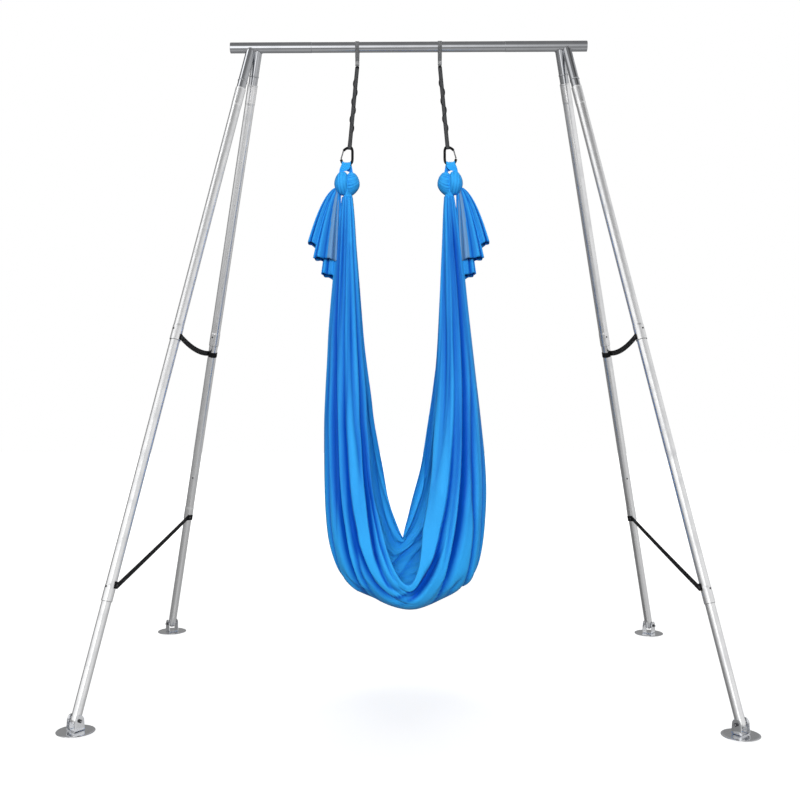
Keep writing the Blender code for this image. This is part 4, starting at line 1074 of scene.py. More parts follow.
def strap(node, front, rear, start, finish, sag, width, sewn):
    """A strap from its tab on the front leg to its run on the rear leg, sewn over the given steps."""
    points, ups = [], []
    for i in range(1, STRAP_STEPS):
        t = i / STRAP_STEPS
        points.append(start[-1].lerp(finish[0], t) - UP * (sag * 4 * t * (1 - t)))
        ups.append(front.up.lerp(rear.up, t).normalized())
    places = route_places(start + points + finish, [front.up] * len(start) + ups + [rear.up] * len(finish))
    piece = Piece(node.replace("strap", "spreader"))
    piece.add(swept(flat_band(width, WEBBING_THICKNESS), places), "strap_weave")
    for first, last in sewn:
        for face in (1, -1):
            box_stitch(piece, places[first:last], width, face)
    piece.done("frame", node, slot="black_webbing", crease=WIDE_CREASE)


class YOGAFRAME_OT_straps(bpy.types.Operator):
    """The black spreader straps between front and rear legs, with their bolts"""
    bl_idname = "yogaframe.straps"
    bl_label = "Spreader straps"

    def execute(self, context):
        seat = GAP + WEBBING_THICKNESS / 2
        first, last = STRAP_LOOP_ARC
        angles = [first + (last - first) * i / LOOP_STEPS for i in range(LOOP_STEPS + 1)]
        upper, lower = UPPER_SOCKET_OUTER / 2, MIDDLE_SOCKET_OUTER / 2
        for side_name, side in SIDES:
            front, rear = [leg for _, end in ENDS for leg in LEGS if leg.side == side and leg.end == end]
            start = tab_line(front, UPPER_STRAP_HEIGHTS["front"], upper + seat, 0.0)
            loop = [rear.around(UPPER_STRAP_HEIGHTS["rear"], MIDDLE_OUTER / 2 + seat, a) for a in angles]
            strap("upper_strap_" + side_name, front, rear, start, loop, UPPER_STRAP_SAG, WEBBING_WIDTH,
                  [(3, 8)])
            start = tab_line(front, LOWER_STRAP_HEIGHTS["front"], lower + seat, 0.0)
            finish = tab_line(rear, LOWER_STRAP_HEIGHTS["rear"], lower + seat, -REAR_TAB_TURN)
            strap("lower_strap_" + side_name, front, rear, start, finish, LOWER_STRAP_SAG, LOWER_STRAP_WIDTH,
                  [(3, 6), (27, 30)])
            for node, leg, height, angle, outside in (
                    ("upper_strap_bolt_", front, UPPER_STRAP_HEIGHTS["front"], 0.0, upper),
                    ("lower_strap_front_bolt_", front, LOWER_STRAP_HEIGHTS["front"], 0.0, lower),
                    ("lower_strap_rear_bolt_", rear, LOWER_STRAP_HEIGHTS["rear"], -REAR_TAB_TURN, lower)):
                self.screw(node + side_name, leg, height, angle, outside)
        return {"FINISHED"}

    def screw(self, node, leg, height, angle, outside):
        face = outside + 2 * GAP + WEBBING_THICKNESS
        base = outside - SCREW_DEPTH
        profile = [(r, face + z) for r, z in SCREW_HEAD] + [(0.003, base), (0.0, base)]
        single(node.replace("bolt", "screw"), turned(profile, 32), "nut_dark",
               along(leg.at(height), leg.toward(angle)), "frame", node, "bolt_steel")


# ---- Hangers ----

# Grey rows of thread on the sling's tab: how many, the first one's height, their pitch, inset and thickness
SLING_ROWS, SLING_ROW_START, SLING_ROW_PITCH, SLING_ROW_INSET = 12, 0.0095, 0.0027, 0.0022
SLING_STITCH, SLING_THREAD_RADIUS = 0.0026, 0.0009
# Daisy chain: strap thickness, how much wider it is than its bare width, its piping, and its side loops
CHAIN_THICKNESS, CHAIN_EXTRA_WIDTH, PIPING_RADIUS = 0.0016, 0.003, 0.0013
LOOP_OFFSET, LOOP_BULGE, LOOP_HALF_LENGTH, LOOP_BAND = 0.0040, 0.0068, 0.017, (0.0072, 0.0042)
LOOP_SEAM, LOOP_SEAM_INSET, LOOP_STITCH = 0.0205, 0.0016, 0.0024
# Cuff at the chain's top: half sizes, then (height, share of them)
CUFF_HALF = (0.0085, 0.0031)
CUFF_RINGS = ((-0.0085, 0.72), (-0.0070, 0.95), (-0.0040, 1.0), (-0.0010, 0.97), (0.0, 0.80))
# Rounded ends of the carabiner's rod: their length, and the shares of it that have a ring
ROD_TIP, ROD_TIP_SHARES = 0.0026, (0.35, 0.75, 0.95)


class YOGAFRAME_OT_hangers(bpy.types.Operator):
    """Slings round the bar and the daisy chains below them"""
    bl_idname = "yogaframe.hangers"
    bl_label = "Slings and chains"

    def execute(self, context):
        for side_name, side in SIDES:
            self.sling(side_name, side)
            self.chain(side_name, side)
        return {"FINISHED"}

    def sling(self, side_name, side):
        flat = SLING_THICKNESS / 2
        loop = arc_points(HEAD_OUTER / 2 + GAP + flat, -32.0, 212.0, 40)
        low = [(flat, -SLING_DROP + z) for z in (0.0012, 0.009, SLING_TAB)]
        low.append((0.0072, -SLING_DROP + SLING_TAB + 0.018))
        line = low + loop + [(-x, z) for x, z in reversed(low)]
        centre = Vector((HAMMOCK_X + side * SLING_HALF_SPAN, 0.0, BAR_Z))
        points = [centre + Vector((0.0, y, z)) for y, z in smooth_run(line, 2)]
        piece = Piece("webbing_sling_" + side_name)
        band = swept(flat_band(SLING_WIDTH, SLING_THICKNESS), route_places(points, RIGHTWARD))
        piece.add(band, "sling_weave")
        half = SLING_WIDTH / 2 - SLING_ROW_INSET
        for face in (-1, 1):
            for row in range(SLING_ROWS):
                z = BAR_Z - SLING_DROP + SLING_ROW_START + row * SLING_ROW_PITCH
                ends = [Vector((centre.x + t * half, face * (SLING_THICKNESS + 0.0001), z)) for t in (-1, 1)]
                stitches(piece, "thread_grey", ends, UP, Vector((0, face, 0)), SLING_STITCH,
                         SLING_THREAD_RADIUS)
        piece.done("slings", "bar_sling_" + side_name, slot="grey_webbing", crease=WIDE_CREASE)

    def chain(self, side_name, side):
        eye = hook_point(side, TOP_BOW) - UP * 0.00055
        top = Vector((HAMMOCK_X + side * SLING_HALF_SPAN, 0.0, BAR_Z - SLING_DROP - GAP))
        length = (top - eye).length
        up = (top - eye).normalized()
        wide = REARWARD.cross(up)
        thick = CHAIN_THICKNESS
        width = CHAIN_WIDTH + CHAIN_EXTRA_WIDTH
        radius = EYE_RADIUS + thick / 2
        half = thick / 2 + 0.00005
        climb = [0.036 + (length - 0.040) * k / 30 for k in range(31)]
        line = [(half, z) for z in reversed(climb)] + [(radius * 0.72, 0.014), (radius, 0.004)]
        line += arc_points(radius, 360.0, 180.0, 24)
        line += [(-radius, 0.004), (-radius * 0.72, 0.014)] + [(-half, z) for z in climb]
        places = route_places([eye + REARWARD * y + up * z for y, z in line], wide)
        piece = Piece("daisy_strap_" + side_name)
        piece.add(swept(flat_band(width, thick), places), "chain_weave")
        for way in (-1, 1):
            rim = [place @ Vector((way * width / 2, 0.0, 0.0)) for place in places]
            piece.add(swept(circle(PIPING_RADIUS, 8), route_places(rim, wide)), "chain_loop_weave")
        for i, share in enumerate(CHAIN_LOOP_SHARES):
            centre = eye + up * (length * share)
            self.side_loop(piece, centre, wide * (-1 if i % 2 else 1), up)
            for z in (-LOOP_SEAM, LOOP_SEAM):
                for face in (-1, 1):
                    spot = centre + up * z + REARWARD * (face * (thick + 0.0002))
                    reach = wide * (CHAIN_WIDTH / 2 - LOOP_SEAM_INSET)
                    stitches(piece, "thread_black", [spot - reach, spot + reach], up, REARWARD * face,
                             LOOP_STITCH)
        cuff = [(CUFF_HALF[0] * x, CUFF_HALF[1] * y) for x, y in arc_points(1.0, 0.0, 360.0, 24)[:-1]]
        band = [[(x * s, y * s) for x, y in cuff] for _, s in CUFF_RINGS]
        rings = [axes(top + UP * z, RIGHTWARD, REARWARD, UP) for z, _ in CUFF_RINGS]
        piece.add(swept_between(band, rings), "chain_loop_weave")
        piece.done("slings", "daisy_chain_" + side_name, slot="chain_webbing", crease=WIDE_CREASE)

    def side_loop(self, piece, centre, out, up):
        arc = [centre + out * (LOOP_OFFSET + x * LOOP_BULGE) + up * (y * LOOP_HALF_LENGTH)
               for x, y in arc_points(1.0, -90.0, 90.0, 14)]
        piece.add(swept(flat_band(*LOOP_BAND), route_places(arc, REARWARD)), "chain_loop_weave")


def hook_point(side, route_point):
    x, z = route_point
    return Vector((HAMMOCK_X + side * (CARABINER_HALF_SPAN + x), 0.0, CARABINER_HEIGHT + z))


def rod_tip(base, sign):
    """Rings past one end of the rod, as (placement, share of the rod's radius)."""
    rings = []
    for step in ROD_TIP_SHARES:
        place = base.copy()
        place.translation = base.translation + base.to_3x3() @ Vector((0, 0, sign * ROD_TIP * step))
        rings.append((place, math.sqrt(1 - step * step)))
    return rings


class YOGAFRAME_OT_carabiners(bpy.types.Operator):
    """The two black carabiners and their gates"""
    bl_idname = "yogaframe.carabiners"
    bl_label = "Carabiners"

    def execute(self, context):
        neck = GATE_RADIUS * 0.90
        for side_name, side in SIDES:
            places = route_places([hook_point(side, p) for p in smooth_run(CARABINER_ROUTE, 6)], REARWARD)
            rings = rod_tip(places[0], -1)[::-1] + [(p, 1.0) for p in places] + rod_tip(places[-1], 1)
            body = [[(x * s, y * s) for x, y in circle(ROD_RADIUS + 0.0005, 24)] for _, s in rings]
            rod = swept_between(body, [p for p, _ in rings])
            single("snap_hook_" + side_name, rod, "anodised_black", None,
                   "slings", "carabiner_" + side_name, "black_alloy", WIDE_CREASE)
            pivot, nose = hook_point(side, GATE_PIVOT), hook_point(side, GATE_NOSE)
            length = (nose - pivot).length
            profile = [(0.0, length), (GATE_RADIUS * 0.8, length), (GATE_RADIUS, length - 0.0008),
                       (GATE_RADIUS, length - 0.006), (neck, length - 0.0066), (neck, 0.004),
                       (GATE_RADIUS, 0.0032), (GATE_RADIUS, 0.0),
                       *oval(0.0, 0.0, GATE_RADIUS, GATE_RADIUS, range(105, 180, 15)), (0.0, -GATE_RADIUS)]
            name = "gate_" + side_name
            single("hook_gate_" + side_name, turned(profile, 24), "gate_satin",
                   along(pivot, nose - pivot, REARWARD), name, name, "gate_alloy")
        return {"FINISHED"}


# ---- Cloth ----

BUNDLE_RINGS, BUNDLE_SEGMENTS = 60, 80
NECK_OUT = 0.2355
SLEEVE_STEPS, SLEEVE_HALF_WALL = 36, 0.0009


def bundle(half_sizes, centre, side, shape):
    """A rounded bundle of cloth whose skin follows shape(direction), in metres beyond the plain form."""
    bm = bmesh.new()
    bmesh.ops.create_uvsphere(bm, u_segments=BUNDLE_SEGMENTS, v_segments=BUNDLE_RINGS, radius=1.0)
    layer = bm.verts.layers.float_vector.new("grain")
    shade = bm.verts.layers.float.new("painted_shade")
    for vert in bm.verts:
        way = vert.co.normalized()
        # The shape also gives each point's painted shade.
        proud, slide, vert[shade] = shape(way)
        vert[layer] = (way.x * 0.05, way.y * 0.05, way.z * 0.08)
        size = Vector((way.x * half_sizes[0], way.y * half_sizes[1], way.z * half_sizes[2]))
        size += way * proud
        vert.co = centre + Vector((side * (size.x + slide), size.y, size.z))
    bmesh.ops.recalc_face_normals(bm, faces=bm.faces)
    return bm


def ridge(turn):
    """Rounded on top and sharp at the foot, between -1 and 1."""
    return 2.0 * abs(math.sin(turn)) ** 0.7 - 1.0


def furrow(distance, width):
    return math.exp(-(abs(distance) / width) ** 1.3)


def outer_wrap(way):
    """The big smooth loop, with long soft creases down it, and painted shade in the creases, toward its
    underside and toward its outer side.
    """
    slide = -0.006 * max(-way.z, 0.0) ** 1.6 - 0.003 * max(way.z, 0.0)
    proud = 0.0016 * noise.noise(Vector((way.x * 1.6, way.y * 1.6, way.z * 1.2)))
    painted_shade = 0.25 * max(-way.z, 0.0) + 0.22 * max(way.x, 0.0) ** 3
    for k, place in enumerate((-0.78, -0.30, 0.18, 0.60)):
        line = way.x - place - 0.30 * (1.0 - way.z * way.z) * (0.5 - 0.2 * k) - 0.12 * way.z
        proud -= (0.0016 - 0.0002 * k) * furrow(line, 0.060)
        painted_shade += 0.62 * furrow(line, 0.034)
    return proud, slide, min(painted_shade, 1.0)


def inner_wrap(way):
    """The creased loop behind: furrows that wrap round and under the smooth one, with painted shade in the
    furrows and toward its underside.
    """
    slide = 0.018 * max(-way.z, 0.0) ** 1.5 + 0.002 * max(way.z, 0.0)
    proud = 0.0012
    painted_shade = 0.15 * max(-way.z, 0.0)
    for k, level in enumerate((0.70, 0.47, 0.25, 0.03, -0.20, -0.43, -0.68)):
        bend = (0.10 + 0.06 * k) * way.x * way.x - 0.16 * way.x + 0.05 * math.sin(k * 2.3)
        fade = 0.35 + 0.65 * clamp(way.x + 0.5 + 0.3 * math.sin(k * 1.9))
        proud -= fade * (0.0031 + 0.0006 * math.sin(k * 1.7)) * furrow(way.z - level - bend, 0.038)
        painted_shade += 0.85 * fade * furrow(way.z - level - bend, 0.034)
    return proud, slide, min(painted_shade, 1.0)


class YOGAFRAME_OT_knots(bpy.types.Operator):
    """The knots of cloth on the carabiners"""
    bl_idname = "yogaframe.knots"
    bl_label = "Knots"

    def execute(self, context):
        for side_name, side in SIDES:
            centre = Vector((HAMMOCK_X + side * CARABINER_HALF_SPAN, 0.0, KNOT_HEIGHT))
            piece = Piece("cloth_knot_" + side_name)
            outer = centre + Vector((side * OUTER_LOBE_SHIFT, -0.006, 0.001))
            inner = centre + Vector((side * (INNER_LOBE_SHIFT + 0.003), 0.003, -0.002))
            outer_half = (OUTER_LOBE_HALF_WIDTH, LOBE_HALF_DEPTH * 0.94, LOBE_HALF_HEIGHT)
            inner_half = (INNER_LOBE_HALF_WIDTH + 0.005, LOBE_HALF_DEPTH * 0.92, LOBE_HALF_HEIGHT * 0.98)
            piece.add(bundle(outer_half, outer, side, outer_wrap), "azure_knit")
            piece.add(bundle(inner_half, inner, side, inner_wrap), "azure_knit")
            self.sleeve(piece, side)
            self.neck(piece, side)
            piece.done("hammock", "knot_" + side_name, slot="blue_cloth", crease=None)
        return {"FINISHED"}

    def sleeve(self, piece, side):
        """Cloth drawn over the carabiner's lower bow: up in front, over, and down behind."""
        bow = CARABINER_HEIGHT + BOTTOM_BOW_Z
        over = ROD_RADIUS + 0.0026
        route = [(0.0225, -0.0160, -0.052, 0.0125), (0.0222, -0.0150, -0.031, 0.0108),
                 (0.0120, -0.0128, -0.020, 0.0165), (0.0030, -0.0108, -0.009, 0.0205),
                 (0.0010, -0.0088, 0.003, 0.0205), (0.0, -0.0030, over, 0.0200), (0.0, 0.0030, over, 0.0200),
                 (-0.0010, 0.0088, 0.003, 0.0205), (-0.0030, 0.0108, -0.009, 0.0205),
                 (-0.0120, 0.0128, -0.020, 0.0140), (-0.0185, 0.0150, -0.031, 0.0085),
                 (-0.0215, 0.0160, -0.052, 0.0100)]
        base = Vector((HAMMOCK_X + side * CARABINER_HALF_SPAN, 0.0, bow))
        line = smooth_run([base + Vector((side * x, y, z)) for x, y, z, _ in route], 4)
        widths = [v.x for v in smooth_run([Vector((w, 0.0, 0.0)) for *_, w in route], 4)]
        sections = []
        for i, half in enumerate(widths):
            front, back = [], []
            for k in range(SLEEVE_STEPS + 1):
                t = 2 * k / SLEEVE_STEPS - 1
                wave = 0.0013 * math.sin(t * 13.0 + 0.4 * math.sin(i * 0.35))
                front.append((half * t, wave - SLEEVE_HALF_WALL))
                back.append((half * t, wave + SLEEVE_HALF_WALL))
            sections.append(front + back[::-1])
        strip = swept_between(sections, route_places(line, RIGHTWARD))
        for vert in strip.verts:
            beside = abs(vert.co.x - base.x) - BOW_FLAT
            vert.co.z += clamp((vert.co.z - base.z + 0.024) / 0.02) * 32.0 * max(beside, 0.0) ** 2
        piece.add(strip, "azure_knit")

    def neck(self, piece, side):
        """The cloth gathered into the foot of the knot."""
        centre = Vector((HAMMOCK_X + side * NECK_OUT, 0.0, CLOTH_TOP - 0.001))
        profile = [(0.004, 0.002), (NECK_RADIUS * 0.98, 0.0), (NECK_RADIUS, 0.006),
                   (NECK_RADIUS * 1.08, 0.014), (NECK_RADIUS * 1.22, 0.026), (NECK_RADIUS * 1.2, 0.045),
                   (0.004, 0.06)]
        collar = turned(eased(profile, 0.004), 96)
        for vert in collar.verts:
            turn = math.atan2(vert.co.y, vert.co.x)
            pleat = 1.0 + 0.05 * math.sin(turn * 15.0) + 0.03 * math.sin(turn * 7.0 + 1.0)
            vert.co.x *= pleat
            vert.co.y *= pleat
        piece.add(collar, "azure_knit", Matrix.Translation(centre))


# Each tier of a tail: foot of its trumpet, bend of its path, head at the knot (all outward and up from the
# knot's centre), half width and half depth at its foot, how far forward it hangs, and its slant
TAIL_TIERS = (
    ((0.1430, -0.2870), (0.0980, -0.0620), (0.0500, -0.0200), 0.0370, 0.0150, 0.006, 0.42),
    ((0.0990, -0.3540), (0.0720, -0.1100), (0.0445, -0.0300), 0.0535, 0.0170, -0.008, 0.16),
    ((0.0770, -0.4290), (0.0560, -0.1500), (0.0360, -0.0400), 0.0400, 0.0140, 0.013, 0.30),
)


class YOGAFRAME_OT_tails(bpy.types.Operator):
    """The free ends of the cloth below the knots"""
    bl_idname = "yogaframe.tails"
    bl_label = "Tails"

    def execute(self, context):
        for side_name, side in SIDES:
            piece = Piece("cloth_tail_" + side_name)
            for number, tier in enumerate(TAIL_TIERS):
                self.trumpet(piece, side, number, tier)
            obj = piece.done("hammock", "tail_" + side_name, slot="blue_cloth", crease=None)
            thicken(obj, 0.0011)
        return {"FINISHED"}

    def trumpet(self, piece, side, number, tier):
        foot, bend, head, half_width, half_depth, forward, slant = tier
        centre = Vector((HAMMOCK_X + side * CARABINER_HALF_SPAN, 0.0, KNOT_HEIGHT))
        bm = bmesh.new()
        bmesh.ops.create_grid(bm, x_segments=96, y_segments=56, size=1.0)
        layer = bm.verts.layers.float_vector.new("grain")
        shade = bm.verts.layers.float.new("painted_shade")
        for vert in bm.verts:
            turn = math.pi * vert.co.x
            u = (vert.co.y + 1) / 2
            x, z = (bent(a, b, c, u) for a, b, c in zip(head, bend, foot))
            flare = u ** 0.85
            wide = 0.0085 + (half_width - 0.0085) * flare
            deep = 0.0065 + (half_depth - 0.0065) * flare
            pleat = flare * (0.0125 * ridge(3.5 * turn + number) + 0.003 * math.cos(11 * turn + 2 * number))
            across = math.cos(turn) * (wide + 0.3 * pleat)
            forth = math.sin(turn) * (deep + pleat) - forward * u
            hem = u ** 3 * (slant * across + 0.008 * math.sin(turn) + 0.0025 * math.cos(6 * turn + number))
            # Painted shade in the troughs of the pleats.
            crest = 0.5 + 0.5 * ridge(3.5 * turn + number)
            dark = 0.12 + 0.88 * (1 - crest) ** 1.3 + 0.18 * (1 - math.cos(11 * turn + 2 * number))
            vert[shade] = min(dark, 1.0)
            vert[layer] = (turn * 0.06, 0.0, u * 0.36)
            vert.co = centre + Vector((side * (x + across), -forth - 0.004, z + hem))
        bmesh.ops.remove_doubles(bm, verts=bm.verts, dist=1e-5)
        bmesh.ops.recalc_face_normals(bm, faces=bm.faces)
        piece.add(bm, "azure_knit")
        # Painted light: a strip of the middle tier's front takes the backlit colour, as if light came through
        # its single layer.
        if number == 1:
            piece.looks.append("azure_knit_backlit")
            for face in piece.bm.faces:
                middle = face.calc_center_median() - centre
                u = clamp((-0.05 - middle.z) / 0.30)
                inner_edge = 0.050 + 0.037 * u ** 0.7
                if abs(middle.y) < 0.05 and middle.y < 0.002 and side * middle.x < inner_edge:
                    face.material_index = 1


def thicken(obj, thickness):
    wall = obj.modifiers.new("thickness", "SOLIDIFY")
    wall.thickness = thickness
    wall.offset = 0.0


# Outline of the cloth, from the knots down to the seat: (x, z) at even shares of the run
OUTER_LEFT = (
    (0.013, 0.300), (-0.082, 0.318), (-0.178, 0.362), (-0.258, 0.410), (-0.312, 0.474), (-0.346, 0.552),
    (-0.368, 0.640), (-0.380, 0.760), (-0.384, 0.881), (-0.385, 1.025), (-0.384, 1.169), (-0.378, 1.308),
    (-0.370, 1.452), (-0.363, 1.596), (-0.352, 1.735), (-0.339, 1.874), (-0.325, 2.013), (-0.311, 2.129),
    (-0.303, 2.2117),
)
INNER_LEFT = (
    (-0.029, 0.640), (-0.040, 0.664), (-0.052, 0.701), (-0.064, 0.745), (-0.076, 0.789), (-0.090, 0.835),
    (-0.104, 0.885), (-0.118, 0.940), (-0.131, 1.000), (-0.144, 1.075), (-0.161, 1.175), (-0.172, 1.290),
    (-0.187, 1.415), (-0.201, 1.544), (-0.212, 1.680), (-0.223, 1.820), (-0.236, 1.975), (-0.248, 2.118),
    (-0.257, 2.2117),
)
OUTER_RIGHT = (
    (0.013, 0.300), (0.080, 0.316), (0.165, 0.357), (0.240, 0.405), (0.290, 0.446), (0.322, 0.520),
    (0.342, 0.620), (0.352, 0.730), (0.356, 0.850), (0.350, 0.985), (0.337, 1.119), (0.322, 1.262),
    (0.306, 1.401), (0.289, 1.544), (0.271, 1.700), (0.255, 1.850), (0.238, 2.000), (0.220, 2.127),
    (0.208, 2.2117),
)
INNER_RIGHT = (
    (-0.029, 0.640), (-0.019, 0.664), (-0.007, 0.701), (0.004, 0.745), (0.015, 0.790), (0.027, 0.835),
    (0.041, 0.885), (0.055, 0.940), (0.065, 0.990), (0.077, 1.060), (0.092, 1.165), (0.106, 1.275),
    (0.117, 1.400), (0.127, 1.544), (0.135, 1.690), (0.143, 1.840), (0.152, 1.990), (0.160, 2.125),
    (0.166, 2.2117),
)


def on_line(points, share, level=False):
    """A point at a share of a smooth line through even points; level keeps its first end level."""
    place = clamp(share) * (len(points) - 1)
    i = min(int(place), len(points) - 2)
    a, b, c, d = around_span(points, i)
    if level and i == 0:
        a = Vector((2 * b.x - c.x, c.y))
    return span_point(a, b, c, d, place - i)


# How far each edge of the cloth has turned in, by share of the run up from the seat: (share, degrees)
FRONT_EDGE_LEFT = (
    (0.0, 115), (0.04, 92), (0.08, 76), (0.145, 61), (0.23, 53), (0.3, 51), (0.49, 43), (0.62, 36), (1.0, 24),
)
FRONT_EDGE_RIGHT = (
    (0.0, 115), (0.068, 93), (0.123, 70), (0.187, 56), (0.317, 49), (0.463, 45), (0.62, 36), (1.0, 24),
)
REAR_EDGE_LEFT = (
    (0.0, 28), (0.04, 23), (0.1, 21), (0.2, 25), (0.28, 23), (0.35, 14), (0.42, 8), (0.55, 12), (0.7, 23),
    (1.0, 24),
)
REAR_EDGE_RIGHT = ((0.0, 28), (0.04, 17), (0.09, 6), (0.4, 5), (0.53, 8), (0.7, 23), (1.0, 24))

# Folds: which side stands proud (-1 the inner, 1 the outer, 0 both), then (run, degrees round from the
# inside, depth in millimetres) along it; run is -1 at the left knot and 1 at the right
FOLDS = (
    (-1, (-0.99, 150, 2), (-0.89, 135, 6), (-0.78, 128, 10), (-0.635, 123, 12), (-0.56, 118, 14),
     (-0.48, 118, 16), (-0.4, 116, 18), (-0.318, 115, 19), (-0.273, 119, 20), (-0.222, 124, 20),
     (-0.173, 133, 18), (-0.13, 152, 14), (-0.09, 178, 8), (-0.04, 208, 0)),
    (0, (-0.66, 134, 0), (-0.56, 131, 6), (-0.48, 130, 7), (-0.40, 128, 6), (-0.30, 133, 0)),
    (-1, (-0.97, 96, 1), (-0.84, 96, 3), (-0.64, 98, 6), (-0.56, 97, 9), (-0.475, 96, 12), (-0.378, 95, 14),
     (-0.286, 95, 16), (-0.243, 100, 16), (-0.186, 103, 15), (-0.139, 112, 15), (-0.109, 123, 15),
     (-0.08, 130, 13), (-0.057, 131, 11), (-0.03, 129, 9), (0.0, 125, 0)),
    (0, (-0.42, 99, 0), (-0.299, 103, 6), (-0.218, 110, 9), (-0.161, 124, 11), (-0.114, 142, 10),
     (-0.07, 165, 6), (-0.02, 195, 0)),
    (0, (-0.86, 72, 2), (-0.79, 72, 4), (-0.715, 74, 6), (-0.64, 77, 5), (-0.56, 74, 4), (-0.464, 70, 3),
     (-0.38, 70, 0)),
    (1, (-0.84, 50, 0), (-0.72, 50, 6), (-0.64, 54, 8), (-0.56, 57, 11), (-0.46, 61, 15), (-0.34, 65, 18),
     (-0.236, 74, 18), (-0.177, 82, 17), (-0.119, 96, 15), (-0.089, 109, 13), (-0.073, 116, 11),
     (-0.055, 118, 9), (-0.037, 117, 7), (-0.018, 115, 4), (0.02, 111, 0)),
    (1, (-0.64, 46, 0), (-0.455, 52, 4), (-0.326, 56, 9), (-0.208, 64, 10), (-0.113, 78, 9), (-0.073, 94, 6),
     (-0.03, 106, 0)),
    (0, (-0.95, 112, 2), (-0.85, 112, 4), (-0.76, 110, 3), (-0.66, 112, 0)),
    (0, (-0.70, 152, 0), (-0.6, 150, 6), (-0.45, 148, 8), (-0.3, 152, 10), (-0.22, 166, 10), (-0.17, 186, 6),
     (-0.1, 210, 0)),
    (0, (-0.23, 150, 0), (-0.16, 152, 6), (-0.125, 166, 9), (-0.10, 180, 8), (-0.05, 205, 0)),
    (0, (0.68, 146, 0), (0.65, 142, 5), (0.58, 132, 8), (0.5, 126, 9), (0.41, 128, 10), (0.35, 136, 9),
     (0.29, 140, 10), (0.22, 150, 12), (0.18, 168, 11), (0.14, 190, 6), (0.08, 215, 0)),
    (-1, (0.97, 116, 3), (0.89, 117, 8), (0.84, 121, 8), (0.79, 122, 10), (0.72, 118, 11), (0.65, 114, 12),
     (0.58, 109, 15), (0.49, 105, 19), (0.4, 102, 22), (0.31, 103, 23), (0.25, 105, 22), (0.195, 111, 20),
     (0.147, 124, 17), (0.108, 141, 14), (0.075, 163, 11), (0.04, 186, 6), (0.0, 210, 0)),
    (-1, (0.97, 80, 2), (0.89, 82, 4), (0.84, 88, 3), (0.79, 91, 4), (0.72, 89, 6), (0.65, 90, 5),
     (0.57, 87, 6), (0.483, 83, 9), (0.371, 81, 10), (0.269, 81, 12), (0.193, 86, 15), (0.133, 96, 20),
     (0.095, 103, 23), (0.062, 110, 20), (0.034, 118, 17), (0.003, 125, 14), (-0.03, 129, 9),
     (-0.055, 131, 0)),
    (1, (0.29, 88, 0), (0.198, 93, 4), (0.151, 99, 10), (0.11, 107, 18), (0.084, 116, 21), (0.047, 127, 17),
     (0.01, 139, 11), (-0.03, 150, 5), (-0.07, 158, 0)),
    (0, (0.9, 56, 1), (0.84, 57, 4), (0.79, 60, 5), (0.72, 63, 7), (0.65, 64, 6), (0.57, 63, 4),
     (0.49, 61, 0)),
    (0, (0.62, 97, 0), (0.575, 96, 3), (0.488, 95, 4), (0.38, 92, 5), (0.30, 93, 5), (0.22, 99, 4),
     (0.15, 112, 0)),
    (0, (0.96, 100, 2), (0.86, 104, 4), (0.78, 106, 3), (0.7, 103, 2), (0.6, 101, 0)),
    (0, (0.62, 160, 0), (0.5, 156, 7), (0.38, 156, 9), (0.28, 166, 9), (0.2, 184, 6), (0.12, 210, 0)),
    (0, (0.2, 140, 0), (0.15, 146, 6), (0.125, 160, 9), (0.105, 176, 9), (0.06, 200, 0)),
)
# Steps on the inner face of the rear wall: (run, degrees, height in millimetres)
INNER_STEPS = (
    ((0.62, 338, 0), (0.5, 334, 5), (0.304, 321, 9), (0.123, 321, 11), (0.034, 316, 11), (-0.02, 312, 8),
     (-0.06, 306, 0)),
    ((0.42, 302, 0), (0.284, 300, 8), (0.124, 292, 12), (0.02, 280, 13), (-0.04, 270, 9), (-0.09, 262, 0)),
    ((0.2, 283, 0), (0.103, 275, 9), (0.041, 260, 11), (0.0, 250, 9), (-0.05, 240, 0)),
    ((-0.66, 326, 0), (-0.482, 320, 6), (-0.256, 312, 9), (-0.149, 309, 9), (-0.06, 305, 6), (-0.03, 303, 0)),
    ((-0.3, 292, 0), (-0.2, 288, 7), (-0.112, 284, 8), (-0.05, 276, 0)),
)
REAR_FOLDS = 11
REAR_WALL_CLOSE = 0.40
# Grid of the cloth along its run and round its section, and the section's share that its front part takes
RUN_STEPS, ROUND_STEPS = 190, 230
FRONT_SHARE = 0.62
# Rounding of the seat: steps of the run to each side, passes, and the steps round that it covers and
# fades over
SEAT_REACH, SEAT_PASSES, SEAT_ROUND, SEAT_FADE = 13, 22, 168, 26


def at_run(stops, run):
    """Straight-line values between stops, rounded a little; those of the end stops outside them."""
    total = [0.0, 0.0]
    for offset, weight in ((-0.025, 0.25), (0.0, 0.5), (0.025, 0.25)):
        r = run + offset
        if r <= stops[0][0]:
            found = stops[0][1:]
        elif r >= stops[-1][0]:
            found = stops[-1][1:]
        else:
            k = next(i for i in range(1, len(stops)) if r <= stops[i][0])
            low, high = stops[k - 1], stops[k]
            t = (r - low[0]) / (high[0] - low[0])
            found = [a + (b - a) * t for a, b in zip(low[1:], high[1:])]
        for i, value in enumerate(found):
            total[i] += value * weight
    return total


def folds_at(rows, run):
    """The folds that run past here, as (first value of the row, angle, depth in millimetres)."""
    for kind, stops in rows:
        if stops[0][0] - 0.03 < run < stops[-1][0] + 0.03:
            angle, depth = at_run(stops, run)
            if depth > 0.05:
                yield kind, math.radians(angle), depth


